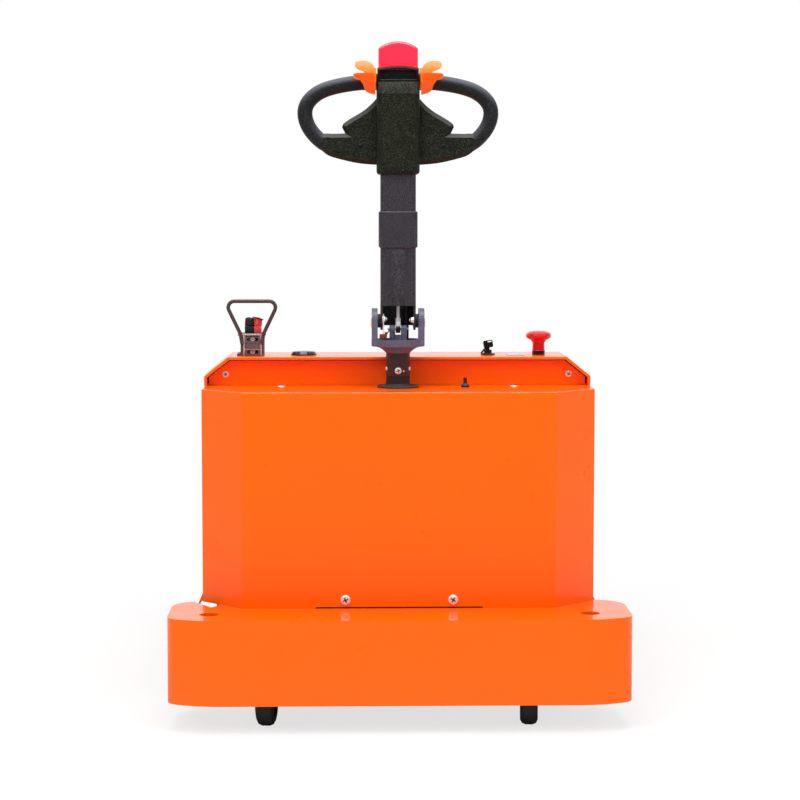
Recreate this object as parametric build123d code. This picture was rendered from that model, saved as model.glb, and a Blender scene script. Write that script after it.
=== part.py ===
from build123d import *
import math
import os

# Pedestrian electric tow tractor: walk-behind tug with a sheet-metal body and a steering tiller.
# Millimetres, +Z up, the tiller end towards -Y and the tow jaw towards +Y. The origin lies on
# the floor, at the middle of the machine's length and width.

# Overall length and the plane of the bumper's front face, from which depths are measured
LENGTH = 1200.0
FRONT_Y = -LENGTH / 2
JAW_TIP_Y = LENGTH / 2

# Clearances
SEAT = 0.3
RUN = 0.1
SEAM = 1.0

# Bumper: a bent steel skirt with a top plate that the hood stands on
BUMPER_WIDTH = 780.0
BUMPER_DEPTH = 191.0
BUMPER_LOW = 47.0
BUMPER_HIGH = 191.0
BUMPER_WALL = 8.0
BUMPER_BOW_RUN = 55.0
BUMPER_BOW_DEPTH = 26.0
BUMPER_BOW_R = 165.0
BUMPER_CORNER_R = 30.0
WING_REAR_R = 52.0
LASHING_HOLE_INSET = 69.0
LASHING_HOLE_DEPTH = 61.0
LASHING_HOLE_R = 16.5
NOTCH_OUT = 21.0
NOTCH_IN = 29.0
NOTCH_TIP = 18.0
NOTCH_RUN = 59.0
NOTCH_HEEL = 41.0
WELL_HALF_WIDTH = 150.0
WELL_FRONT = 128.0
WELL_BACK = 360.0

# Drive hood
BODY_WIDTH = 680.0
HOOD_FRONT = 115.0
HOOD_BACK = 275.0
HOOD_TOP = 561.0
HOOD_CHAMFER = 73.0
HOOD_SHEET = 3.0
HOOD_EDGE_R = 2.5
HOOD_FOOT_GAP_HALF = 143.0
HOOD_FOOT_GAP_HEIGHT = 2.5

# Console above the hood's rear edge
CONSOLE_FRONT = 258.0
CONSOLE_BACK = 400.0
CONSOLE_TOP = 612.0
CONSOLE_SHEET = 5.0
CONSOLE_CHAMFER_X = 42.0
CONSOLE_CHAMFER_Z = 34.0
PANEL_SHEET = 4.0

# Rear body
JAW_REACH = 120.0
BODY_BACK = LENGTH - JAW_REACH
SIDE_SHEET = 4.0
SKIRT_LOW = 170.0
FLARE_TOP = 205.0
FLARE_OUT = 15.0
SIDE_FLANGE = 24.0
LID_SHEET = 3.0
LID_RIM = 26.0
LID_TOP = HOOD_TOP
LID_FRONT = CONSOLE_BACK + 4.0
ARCH_CLEARANCE = 15.0

# Chassis
TRAY_HALF_WIDTH = 240.0
TRAY_FRONT = 404.0
TRAY_FLOOR = 150.0
TRAY_WALL_TOP = 330.0
PLATE = 6.0
RAIL_INNER = 256.0
RAIL_OUTER = 316.0
RAIL_LOW = 128.0
RAIL_WALL = 5.0
RAIL_END = BODY_BACK - 350.0
REAR_PLATE = 12.0
REAR_PLATE_LOW = 110.0
REAR_PLATE_TOP = 335.0

# Drive unit under the steering column
COLUMN_DEPTH = 228.0
FLANGE_R = 38.0
FLANGE_THICKNESS = 10.0
DRIVE_R = 105.0
DRIVE_WIDTH = 70.0
DRIVE_RIM_R = 80.0
TURN_PLATE_Z = 235.0
TURN_PLATE = 12.0
TURN_PLATE_HALF = 190.0
TURN_PLATE_BACK = 338.0
TURN_FLANGE_R = 78.0
TURN_RING_R = 97.0
TURN_RING_HEIGHT = 20.0
NECK_R = 70.0
NECK_LOW = 218.0
LEG_INNER = 41.0
LEG_OUTER = 86.0
LEG_HALF_WIDTH = 46.0
LEG_TOP_GAP = 6.0
SWING_R = 94.0
MOTOR_R = 74.0
MOTOR_TOP = 440.0
COLUMN_R = 17.0
COLLAR_R = 21.0
COLLAR_LOW = 580.0
COLLAR_HIGH = 621.0
GROMMET_R = 36.5
GROMMET_FLANGE = 4.0
GROMMET_WALL = 3.4

# Cast yoke on the column
YOKE_RIM_LOW = 633.0
YOKE_RIM_HIGH = 645.0
YOKE_WIDTH = 92.5
YOKE_DEPTH = 82.0
YOKE_WALL = 7.0
EAR_OUTER = 45.7
EAR_INNER = 35.5
EAR_R = 22.0
EAR_FOOT_HALF = 27.0
TILT_Z = 677.0
PIVOT_R = 8.0
ANCHOR_Y = -8.0
ANCHOR_DROP = 14.0
ANCHOR_R = 7.0
ANCHOR_PIN_R = 2.5
ANCHOR_PIN_PLAY = 2.4

# Tiller arm
ARM_WIDTH = 61.0
ARM_DEPTH = 50.0
ARM_WALL = 4.0
ARM_SKIN_LOW = 704.0
ARM_BACK_DROP = 12.0
CHEEK_R = 16.0
SLEEVE_LENGTH = 63.0
SLEEVE_DROP = 63.0
SLEEVE_WIDTH = 67.0
SLEEVE_DEPTH = 56.0
ARM_RIDGE_X = 13.0

# Gas spring inside the arm
GAS_TOP_RISE = 180.0
GAS_TOP_Y = 12.0
GAS_R = 7.5
GAS_ROD_R = 3.0
GAS_BORE_LENGTH = 96.0
GAS_BODY_LENGTH = 118.0
GAS_ROD_INSIDE = 55.0
GAS_EYE_R = 7.0
GAS_EYE_HALF = 4.0

# Tiller head
HEAD_WIDTH = 74.0
HEAD_DEPTH = 64.0
HEAD_LENGTH = 159.0
RECESS_HALF = 31.0
RECESS_DEPTH = 5.0
CAP_WIDTH = 71.0
CAP_DEPTH = 56.0
CAP_TOP = 1112.0
CAP_LENGTH = 23.0
GRIP_R = 13.0
LOOP_HALF = 161.0
LOOP_DROP = 121.0
WING_THICKNESS = 28.0
WING_BEVEL = 7.0
BUTTON_HALF_WIDTH = 34.0
BUTTON_SIDE = 32.7
BUTTON_RISE = 12.0
BUTTON_DEPTH = 58.0
PADDLE_R = 44.0
PADDLE_THICKNESS = 7.0
PADDLE_AXIS_RISE = 5.0

# Casters behind the bumper
CASTER_X = 222.0
CASTER_DEPTH = 105.0
CASTER_TRAIL = 35.0
CASTER_R = 50.0
CASTER_WIDTH = 30.0
CASTER_YAW = -5.0
CASTER_CROWN_LOW = 110.0
CASTER_CROWN_HIGH = 122.0
CASTER_CROWN_R = 32.0
CASTER_FORK_PLATE = 5.0
CASTER_FORK_GAP = 3.0
CASTER_AXLE_R = 6.0
CASTER_STEM_R = 10.0
CASTER_STEM_TOP = 150.0
CASTER_MOUNT_HALF = 46.0

# Rear wheels
REAR_R = 125.0
REAR_WIDTH = 75.0
REAR_RIM_R = 84.0
REAR_X = 287.5
REAR_DEPTH = BODY_BACK - 200.0
AXLE_R = 15.0
HUB_CAP_R = 30.0
HUB_BOSS_R = 34.0
HUB_LIP = 9.0
HUB_DISH = 16.0

# Battery
BATTERY_HALF_WIDTH = 222.0
BATTERY_FRONT = 418.0
BATTERY_BACK = BODY_BACK - 40.0
BATTERY_HEIGHT = 350.0

# Tow jaw
TOW_Z = 260.0
TOW_GAP = 46.0
TOW_PLATE = 15.0
TOW_HALF_WIDTH = 45.0
TOW_BASE = 12.0
TOW_BASE_HALF = 80.0
TOW_BASE_HEIGHT = 150.0
TOW_PIN_R = 12.5
TOW_PIN_REACH = 18.0
TOW_PIN_STEM = 46.0
TOW_RING_R = 26.0
TOW_RING_WIRE = 5.0

# Fittings on the console and the hood
CONTROL_DEPTH = 320.0
CONNECTOR_X = -257.0
CONNECTOR_WIDTH = 41.0
CONNECTOR_DEPTH = 46.0
CONNECTOR_HEIGHT = 39.0
HANDLE_RISE = 100.0
HANDLE_SPAN = 103.0
HANDLE_FOOT_SPAN = 41.0
HANDLE_R = 3.4
GAUGE_X = -166.0
GAUGE_R = 23.0
GAUGE_HEIGHT = 6.0
KEY_X = 162.5
KEY_R = 13.0
LABEL_X = 211.5
LABEL_WIDTH = 30.0
LABEL_DEPTH = 60.0
STOP_X = 253.0
STOP_CAP_R = 22.7
STOP_BASE_HEIGHT = 7.0
STOP_STEM_R = 11.0
STOP_HEIGHT = 42.0
TOGGLE_X = 117.5
TOGGLE_DEPTH = 229.0

# Cables: battery leads on the plug, and the control cable that runs up inside the tiller
LEAD_R = 6.0
LEAD_HALF_GAP = 8.0
LEAD_RISE = 60.0
LEAD_BACK = 52.0
LEAD_BEND = 19.0
CABLE_R = 4.0
CABLE_X = 15.0
CABLE_Y = 9.0
CABLE_TOP = 800.0
CABLE_BEND = 30.0

# Lid hinge
HINGE_X = 200.0
HINGE_LENGTH = 84.0
HINGE_R = 6.0
HINGE_PIN_R = 3.0
HINGE_BACK = 6.5
HINGE_DROP = 13.0

# Derived places
GROMMET_BORE_R = COLUMN_R + SEAT + GROMMET_WALL
COLUMN_Y = FRONT_Y + COLUMN_DEPTH
REAR_Y = FRONT_Y + REAR_DEPTH
CONTROL_Y = FRONT_Y + CONTROL_DEPTH
CASTER_Y = FRONT_Y + CASTER_DEPTH
BODY_HALF = BODY_WIDTH / 2
BODY_BACK_Y = FRONT_Y + BODY_BACK
LID_RIM_LOW = LID_TOP - LID_RIM
SIDE_TOP = LID_RIM_LOW - SEAT
HINGE_Y = BODY_BACK_Y + HINGE_BACK
HINGE_Z = LID_TOP - HINGE_DROP
TOW_PIN_Y = JAW_TIP_Y - TOW_HALF_WIDTH
GAS_TOP_Z = TILT_Z + GAS_TOP_RISE
HEAD_STEP = CAP_TOP - CAP_LENGTH
HEAD_LOW = HEAD_STEP - HEAD_LENGTH
ARM_TOP = HEAD_LOW
SLEEVE_HIGH = ARM_TOP - SLEEVE_DROP
SLEEVE_LOW = SLEEVE_HIGH - SLEEVE_LENGTH
BUTTON_LOW = CAP_TOP + SEAT
BUTTON_SHOULDER = BUTTON_LOW + BUTTON_SIDE
BUTTON_APEX = BUTTON_SHOULDER + BUTTON_RISE
PADDLE_AXIS_Z = HEAD_STEP + PADDLE_AXIS_RISE
BUMPER_BOW_X = BUMPER_WIDTH / 2 - BUMPER_BOW_RUN
LASHING_HOLE_X = BUMPER_WIDTH / 2 - LASHING_HOLE_INSET
STOP_TOP = CONSOLE_TOP + STOP_HEIGHT
HANDLE_TOP = CONSOLE_TOP + HANDLE_RISE
ANCHOR_Z = TILT_Z - ANCHOR_DROP


def box(x0, x1, y0, y1, z0, z1):
    """An upright block between two corners."""
    centre = ((x0 + x1) / 2, (y0 + y1) / 2, (z0 + z1) / 2)
    return Pos(*centre) * Box(abs(x1 - x0), abs(y1 - y0), abs(z1 - z0))


def rod_z(radius, x, y, z0, z1):
    """An upright round bar."""
    return Pos(x, y, (z0 + z1) / 2) * Cylinder(radius, abs(z1 - z0))


def rod_x(radius, x0, x1, y, z):
    """A round bar along X."""
    return Pos((x0 + x1) / 2, y, z) * Rot(0, 90, 0) * Cylinder(radius, abs(x1 - x0))


def plan(points, z0, z1):
    """A flat outline, seen from above, raised from z0 to z1."""
    face = make_face(Plane.XY * Polyline(*points, close=True))
    return Pos(0, 0, z0) * extrude(face, z1 - z0)


def front_profile(points, y0, y1):
    """An outline in X and Z, carried from y0 to y1."""
    face = make_face(Polyline(*[(x, y0, z) for x, z in points], close=True))
    return extrude(face, y1 - y0, dir=(0, 1, 0))


def side_profile(points, x0, x1):
    """An outline in Y and Z, carried from x0 to x1."""
    face = make_face(Polyline(*[(x0, y, z) for y, z in points], close=True))
    return extrude(face, x1 - x0, dir=(1, 0, 0))


def turned(points, x, y):
    """A ring or disc turned about an upright axis, from radii and heights."""
    face = make_face(Polyline(*[(r, 0, z) for r, z in points], close=True))
    return Pos(x, y, 0) * revolve(face, Axis.Z)


def wheel_turned(points, x, y, z):
    """A wheel turned about an axis along X, from places along the axis and radii."""
    face = make_face(Polyline(*[(a, 0, r) for a, r in points], close=True))
    return Pos(x, y, z) * revolve(face, Axis.X)


def mirror_x(shape):
    """The same piece on the other side of the machine."""
    return mirror(shape, about=Plane.YZ)


def mirrored_points(points):
    """An outline completed with its mirror image across X = 0."""
    return points + [(-x, y) for x, y in reversed(points)]


def upright_edges(shape, radius):
    """Round the upright edges of a block."""
    return fillet(shape.edges().filter_by(Axis.Z), radius)


def bumper_outline(inset):
    """The bumper's plan outline, bowed at its ends, moved in by a wall."""
    slope = math.atan2(BUMPER_BOW_DEPTH, BUMPER_WIDTH / 2 - BUMPER_BOW_X)
    half = BUMPER_WIDTH / 2 - inset
    front = FRONT_Y + inset
    back = FRONT_Y + BUMPER_DEPTH
    bow_x = BUMPER_BOW_X - inset * math.tan(slope / 2)
    corner_y = front + (half - bow_x) * math.tan(slope)
    corner = max(BUMPER_CORNER_R - inset, 2.0)
    rear = WING_REAR_R - inset
    path = FilletPolyline(
        (0, back), (half, back), (half, corner_y), (bow_x, front), (0, front),
        radius=[rear, corner, BUMPER_BOW_R - inset],
    )
    return make_face(path + mirror(path, about=Plane.YZ))


def hood_notch():
    """Cutter for the notch behind the left wing, beside the hood's front corner."""
    corner = -BODY_HALF
    foot = FRONT_Y + HOOD_FRONT + HOOD_CHAMFER
    back = FRONT_Y + BUMPER_DEPTH + 1
    points = [
        (corner - NOTCH_OUT, back), (corner - NOTCH_OUT, foot + 9), (corner + NOTCH_TIP, foot - NOTCH_RUN),
        (corner + NOTCH_IN, foot - NOTCH_HEEL), (corner + NOTCH_IN, back),
    ]
    return plan(points, BUMPER_HIGH - 2 * BUMPER_WALL, BUMPER_HIGH + BUMPER_WALL)


def bumper():
    """Skirt and top plate in one bent and welded piece, open below and behind."""
    height = BUMPER_HIGH - BUMPER_LOW
    shell = Pos(0, 0, BUMPER_LOW) * extrude(bumper_outline(0), height)
    hollow = Pos(0, 0, BUMPER_LOW) * extrude(bumper_outline(BUMPER_WALL), height - BUMPER_WALL)
    open_half = BUMPER_WIDTH / 2 - WING_REAR_R
    back = FRONT_Y + BUMPER_DEPTH
    behind = box(-open_half, open_half, back - 30, back + 1, BUMPER_LOW - 1, BUMPER_HIGH - BUMPER_WALL)
    well = box(-WELL_HALF_WIDTH, WELL_HALF_WIDTH, FRONT_Y + WELL_FRONT, back + 1,
               BUMPER_HIGH - 2 * BUMPER_WALL, BUMPER_HIGH + 1)
    body = shell - hollow - behind - well - hood_notch()
    for side in (-1, 1):
        body -= rod_z(LASHING_HOLE_R, side * LASHING_HOLE_X, FRONT_Y + LASHING_HOLE_DEPTH,
                      BUMPER_HIGH - 2 * BUMPER_WALL, BUMPER_HIGH + 1)
    return body


def hood_outline(inset):
    """The hood's plan outline with its two chamfered front corners."""
    half = BODY_HALF - inset
    front = FRONT_Y + HOOD_FRONT + inset
    chamfer = HOOD_CHAMFER - inset * (2 - math.sqrt(2))
    back = FRONT_Y + HOOD_BACK - SEAM
    return mirrored_points([(half, back), (half, front + chamfer), (half - chamfer, front)])


def drive_hood():
    """Folded sheet hood, open behind and below, with a hole for the column."""
    outer = plan(hood_outline(0), BUMPER_HIGH, HOOD_TOP)
    inner = plan(hood_outline(HOOD_SHEET), BUMPER_HIGH - 1, HOOD_TOP - HOOD_SHEET)
    back = FRONT_Y + HOOD_BACK
    inner_half = BODY_HALF - HOOD_SHEET
    inner += box(-inner_half, inner_half, back - 20, back + 1, BUMPER_HIGH - 1, HOOD_TOP - HOOD_SHEET)
    top_edges = outer.edges().filter_by_position(Axis.Z, HOOD_TOP - 0.1, HOOD_TOP + 0.1)
    front_edges = top_edges.filter_by(lambda e: e.center().Y < back - SEAM - 0.5)
    outer = fillet(front_edges, HOOD_EDGE_R)
    hood = outer - inner
    hood -= rod_z(GROMMET_BORE_R, 0, COLUMN_Y, HOOD_TOP - 10, HOOD_TOP + 10)
    foot = FRONT_Y + HOOD_FRONT
    hood -= box(-HOOD_FOOT_GAP_HALF, HOOD_FOOT_GAP_HALF, foot - 1, foot + HOOD_SHEET + 1,
                BUMPER_HIGH - 1, BUMPER_HIGH + HOOD_FOOT_GAP_HEIGHT)
    return hood


def column_grommet():
    """Rubber grommet that seals the column where it comes through the hood."""
    inner = COLUMN_R + SEAT
    neck = inner + GROMMET_WALL
    top = COLLAR_LOW - SEAT
    seat = HOOD_TOP
    foot = HOOD_TOP - HOOD_SHEET - 4
    return turned(
        [(inner, foot), (neck - SEAT, foot), (neck - SEAT, seat), (GROMMET_R, seat),
         (GROMMET_R, seat + GROMMET_FLANGE / 2), (GROMMET_R - 2.5, seat + GROMMET_FLANGE),
         (neck + 2, seat + GROMMET_FLANGE + 0.6), (neck, seat + GROMMET_FLANGE + 3), (neck, top),
         (inner, top)],
        0, COLUMN_Y,
    )


def console_outline(inset):
    """The console's outline seen from the front, with chamfered shoulders."""
    half = BODY_HALF - inset
    top = CONSOLE_TOP - inset
    ease = inset * 0.45
    return mirrored_points([
        (half, HOOD_TOP), (half, CONSOLE_TOP - CONSOLE_CHAMFER_Z - ease),
        (half - CONSOLE_CHAMFER_X + ease, top),
    ])


def console_shell():
    """Folded frame of the console: top, shoulders, sides and back."""
    front = FRONT_Y + CONSOLE_FRONT
    back = FRONT_Y + CONSOLE_BACK
    outer = front_profile(console_outline(0), front, back)
    inner = front_profile(console_outline(CONSOLE_SHEET), front - 1, back - CONSOLE_SHEET)
    rim = outer.edges().filter_by_position(Axis.Y, front - 0.1, front + 0.1)
    long_rim = rim.filter_by(lambda e: e.center().Z > HOOD_TOP + 1)
    outer = fillet(long_rim, 1.5)
    return outer - inner


def console_panel():
    """Recessed sheet that closes the console's front, with a flange folded back along its foot."""
    front = FRONT_Y + HOOD_BACK
    outline = console_outline(CONSOLE_SHEET + SEAT)
    panel = front_profile(outline, front, front + PANEL_SHEET)
    half = BODY_HALF - CONSOLE_SHEET - SEAT
    flange = box(-half, half, front, front + 40, HOOD_TOP, HOOD_TOP + PANEL_SHEET)
    return panel + flange


def side_panel():
    """Right side sheet: plain above, flared out over the wheel, with a flange folded in at its top."""
    half = BODY_HALF
    sheet = SIDE_SHEET
    y0 = FRONT_Y + HOOD_BACK
    y1 = BODY_BACK_Y
    profile = [
        (half, SIDE_TOP), (half, FLARE_TOP), (half + FLARE_OUT, SKIRT_LOW),
        (half + FLARE_OUT - sheet, SKIRT_LOW), (half - sheet, FLARE_TOP - 1),
        (half - sheet, SIDE_TOP - sheet),
        (half - SIDE_FLANGE, SIDE_TOP - sheet), (half - SIDE_FLANGE, SIDE_TOP),
    ]
    panel = front_profile(profile, y0, y1)
    cheek = box(half - sheet, half, y0, FRONT_Y + CONSOLE_BACK, SIDE_TOP - sheet, HOOD_TOP - SEAT)
    arch_r = REAR_R + ARCH_CLEARANCE
    arch = rod_x(arch_r, half - 40, half + 40, REAR_Y, REAR_R)
    relief = box(half - SIDE_FLANGE - 1, half - sheet, y1 - sheet - SEAT, y1 + 1, SIDE_TOP - sheet - 1,
                 SIDE_TOP + 1)
    return panel + cheek - arch - relief


def rear_panel():
    """Upper rear sheet between the two side panels."""
    half = BODY_HALF - SIDE_SHEET - SEAT
    y1 = BODY_BACK_Y
    sheet = box(-half, half, y1 - SIDE_SHEET, y1, REAR_PLATE_TOP + SEAM, SIDE_TOP)
    flange = box(-half + SIDE_FLANGE, half - SIDE_FLANGE, y1 - SIDE_FLANGE, y1, SIDE_TOP - SIDE_SHEET,
                 SIDE_TOP)
    return sheet + flange


def battery_lid():
    """Folded lid over the battery, with a rim all round and the outer hinge knuckles."""
    half = BODY_HALF
    y0 = FRONT_Y + LID_FRONT
    y1 = BODY_BACK_Y
    pan = box(-half, half, y0, y1, LID_RIM_LOW, LID_TOP)
    hollow = box(-half + LID_SHEET, half - LID_SHEET, y0 + LID_SHEET, y1 - LID_SHEET,
                 LID_RIM_LOW - 1, LID_TOP - LID_SHEET)
    corners = pan.edges().filter_by_position(Axis.Z, LID_TOP - 0.1, LID_TOP + 0.1)
    lid = fillet(corners, 2.5) - hollow
    for side in (-1, 1):
        lid += hinge_half(side * HINGE_X, outer=True)
    return lid


def hinge_half(x, outer):
    """Leaf and knuckles of one butt hinge, the outer pair or the middle one."""
    third = HINGE_LENGTH / 3
    gap = 0.5
    if outer:
        spans = [(-HINGE_LENGTH / 2, -third / 2 - gap), (third / 2 + gap, HINGE_LENGTH / 2)]
        leaf_z = (HINGE_Z, LID_TOP - 4)
    else:
        spans = [(-third / 2, third / 2)]
        leaf_z = (SIDE_TOP - 42, HINGE_Z)
    piece = None
    for a, b in spans:
        knuckle = rod_x(HINGE_R, x + a, x + b, HINGE_Y, HINGE_Z)
        web = box(x + a, x + b, BODY_BACK_Y, BODY_BACK_Y + 3, *leaf_z)
        part = knuckle + web
        piece = part if piece is None else piece + part
    if not outer:
        piece += box(x - HINGE_LENGTH / 2, x + HINGE_LENGTH / 2, BODY_BACK_Y, BODY_BACK_Y + 3,
                     SIDE_TOP - 42, HINGE_Z - HINGE_R - 5)
    bore = HINGE_PIN_R + (0.2 if outer else 0.05)
    return piece - rod_x(bore, x - HINGE_LENGTH, x + HINGE_LENGTH, HINGE_Y, HINGE_Z)


def lid_hinges():
    """Fixed halves of the lid's two hinges."""
    return [hinge_half(side * HINGE_X, outer=False) for side in (-1, 1)]


def hinge_pins():
    """The two pins of the lid's hinges, held by the fixed knuckles."""
    reach = HINGE_LENGTH / 2
    return [rod_x(HINGE_PIN_R, side * HINGE_X - reach, side * HINGE_X + reach, HINGE_Y, HINGE_Z)
            for side in (-1, 1)]


def front_deck():
    """Deck plate behind the bumper, open over the drive wheel."""
    front_y = FRONT_Y + BUMPER_DEPTH
    low = BUMPER_HIGH - BUMPER_WALL
    deck = box(-RAIL_OUTER, RAIL_OUTER, front_y, FRONT_Y + TRAY_FRONT, low, BUMPER_HIGH)
    well = box(-WELL_HALF_WIDTH, WELL_HALF_WIDTH, front_y - 1, FRONT_Y + WELL_BACK, low - 1,
               BUMPER_HIGH + 1)
    return deck - well


def battery_tray():
    """Open tray of welded plates, with the axle plates below it and brackets for the side sheets."""
    y0 = FRONT_Y + TRAY_FRONT
    y1 = BODY_BACK_Y - REAR_PLATE
    half = TRAY_HALF_WIDTH
    tray = box(-half, half, y0, y1, TRAY_FLOOR, TRAY_FLOOR + PLATE)
    tray += box(-half, half, y0, y0 + PLATE, TRAY_FLOOR, TRAY_WALL_TOP)
    for side in (-1, 1):
        tray += box(side * (half - PLATE), side * half, y0, y1, TRAY_FLOOR, TRAY_WALL_TOP)
        tray += axle_plate(side)
        tray += side_bracket(side)
    return tray


def rear_plate():
    """Thick plate across the rear that carries the tow jaw."""
    half = BODY_HALF - SIDE_SHEET - SEAT
    return box(-half, half, BODY_BACK_Y - REAR_PLATE, BODY_BACK_Y, REAR_PLATE_LOW, REAR_PLATE_TOP)


def turntable_bridge():
    """Thick plate with the bore that carries the drive unit, on cheeks that stand on the deck."""
    y0 = FRONT_Y + WELL_FRONT
    y1 = FRONT_Y + TURN_PLATE_BACK
    half = TURN_PLATE_HALF
    bridge = box(-half, half, y0, y1, TURN_PLATE_Z, TURN_PLATE_Z + TURN_PLATE)
    bridge -= rod_z(NECK_R + 4, 0, COLUMN_Y, TURN_PLATE_Z - 5, TURN_PLATE_Z + TURN_PLATE + 5)
    for side in (-1, 1):
        foot_x = side * (WELL_HALF_WIDTH + 8)
        bridge += box(foot_x, foot_x + side * 8, y0, y1, BUMPER_HIGH, TURN_PLATE_Z)
    return bridge


def rail(side):
    """Channel rail from the front deck back to the rear wheel."""
    y0 = FRONT_Y + BUMPER_DEPTH + 8
    y1 = FRONT_Y + RAIL_END
    top = BUMPER_HIGH - BUMPER_WALL
    outer = box(side * RAIL_INNER, side * RAIL_OUTER, y0, y1, RAIL_LOW, top)
    hollow = box(side * (RAIL_INNER - 1), side * (RAIL_OUTER - RAIL_WALL), y0 - 1, y1 + 1,
                 RAIL_LOW + RAIL_WALL, top - RAIL_WALL)
    tie = box(side * (TRAY_HALF_WIDTH - 2), side * (RAIL_INNER + 2), FRONT_Y + TRAY_FRONT, y1,
              RAIL_LOW, RAIL_LOW + RAIL_WALL)
    step = box(side * (TRAY_HALF_WIDTH - PLATE), side * TRAY_HALF_WIDTH, FRONT_Y + TRAY_FRONT, y1,
               RAIL_LOW, TRAY_FLOOR)
    return outer - hollow + tie + step


def axle_plate(side):
    """Plate under the tray that holds the rear axle."""
    x0 = side * (TRAY_HALF_WIDTH - 14)
    x1 = side * TRAY_HALF_WIDTH
    plate = side_profile(
        [(REAR_Y - 80, TRAY_FLOOR), (REAR_Y + 80, TRAY_FLOOR), (REAR_Y + 30, REAR_R - 32),
         (REAR_Y - 30, REAR_R - 32)],
        min(x0, x1), max(x0, x1),
    )
    return plate - rod_x(AXLE_R, -BODY_HALF, BODY_HALF, REAR_Y, REAR_R)


def side_bracket(side):
    """Angle brackets that carry the side sheet from the tray and the rail."""
    outer = BODY_HALF - SIDE_SHEET
    piece = None
    for depth in (TRAY_FRONT + 60, RAIL_END - 40):
        y = FRONT_Y + depth
        arm = box(side * (TRAY_HALF_WIDTH - 2), side * outer, y, y + 30, TRAY_WALL_TOP - 10,
                  TRAY_WALL_TOP - 4)
        piece = arm if piece is None else piece + arm
    return piece


def slew_ring():
    """Fixed outer ring of the turntable bearing."""
    top = TURN_PLATE_Z + TURN_PLATE
    ring = rod_z(TURN_RING_R, 0, COLUMN_Y, top, top + TURN_RING_HEIGHT)
    return ring - rod_z(TURN_FLANGE_R + SEAT, 0, COLUMN_Y, top - 1, top + TURN_RING_HEIGHT + 1)


def gearbox():
    """Turning flange, neck and the leg that reaches down beside the drive wheel."""
    low = TURN_PLATE_Z + TURN_PLATE + SEAT
    flange_top = low + TURN_RING_HEIGHT + 4
    leg_top = TURN_PLATE_Z - LEG_TOP_GAP
    body = rod_z(TURN_FLANGE_R, 0, COLUMN_Y, low, flange_top)
    body += rod_z(NECK_R, 0, COLUMN_Y, NECK_LOW, low)
    leg = rod_x(LEG_HALF_WIDTH, LEG_INNER, LEG_OUTER, COLUMN_Y, DRIVE_R)
    leg += box(LEG_INNER, LEG_OUTER, COLUMN_Y - LEG_HALF_WIDTH, COLUMN_Y + LEG_HALF_WIDTH, DRIVE_R, leg_top)
    leg += rod_z(NECK_R + 8, 0, COLUMN_Y, NECK_LOW, leg_top)
    leg &= rod_z(SWING_R, 0, COLUMN_Y, 0, flange_top)
    body += leg
    body += rod_x(30, DRIVE_WIDTH / 2 + SEAT, LEG_INNER, COLUMN_Y, DRIVE_R)
    return body


def drive_motor():
    """Upright traction motor with its end cap and the socket of the column."""
    low = TURN_PLATE_Z + TURN_PLATE + SEAT + TURN_RING_HEIGHT + 4
    return turned(
        [(0, low), (MOTOR_R, low), (MOTOR_R, MOTOR_TOP - 26), (MOTOR_R - 8, MOTOR_TOP - 20),
         (MOTOR_R - 8, MOTOR_TOP), (0, MOTOR_TOP)],
        0, COLUMN_Y,
    )


def drive_hub():
    """Cast centre of the drive wheel."""
    half = DRIVE_WIDTH / 2
    return wheel_turned(
        [(-half + 12, 0), (half, 0), (half, 34), (half - 24, 42), (half - 24, DRIVE_RIM_R - 14),
         (half - 4, DRIVE_RIM_R - 10), (half - 4, DRIVE_RIM_R), (-half + 4, DRIVE_RIM_R),
         (-half + 4, DRIVE_RIM_R - 10), (-half + 20, DRIVE_RIM_R - 16), (-half + 20, 36), (-half + 12, 30)],
        0, COLUMN_Y, DRIVE_R,
    )


def tyre(radius, rim, width, crown):
    """Solid tyre with rounded shoulders."""
    half = width / 2
    return [(-half, rim), (-half, radius - crown), (-half + crown * 0.35, radius - crown * 0.3),
            (-half + crown, radius), (half - crown, radius), (half - crown * 0.35, radius - crown * 0.3),
            (half, radius - crown), (half, rim)]


def drive_tyre():
    """Polyurethane tread of the drive wheel."""
    return wheel_turned(tyre(DRIVE_R, DRIVE_RIM_R, DRIVE_WIDTH, 6), 0, COLUMN_Y, DRIVE_R)


def steering_column():
    """Steel column from the motor's cap up to the collar."""
    flange_top = MOTOR_TOP + FLANGE_THICKNESS
    flange = rod_z(FLANGE_R, 0, COLUMN_Y, MOTOR_TOP, flange_top)
    return flange + rod_z(COLUMN_R, 0, COLUMN_Y, flange_top, COLLAR_LOW)


def column_collar():
    """Round clamp collar above the grommet."""
    ring = rod_z(COLLAR_R, 0, COLUMN_Y, COLLAR_LOW, COLLAR_HIGH)
    rims = ring.edges().filter_by(GeomType.CIRCLE)
    return fillet(rims, 1.5)


def ellipse_disc(width, depth, z0, z1):
    """An oval disc round the column's axis."""
    face = Plane.XY * Ellipse(width / 2, depth / 2)
    return Pos(0, COLUMN_Y, z0) * extrude(face, z1 - z0)


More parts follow.
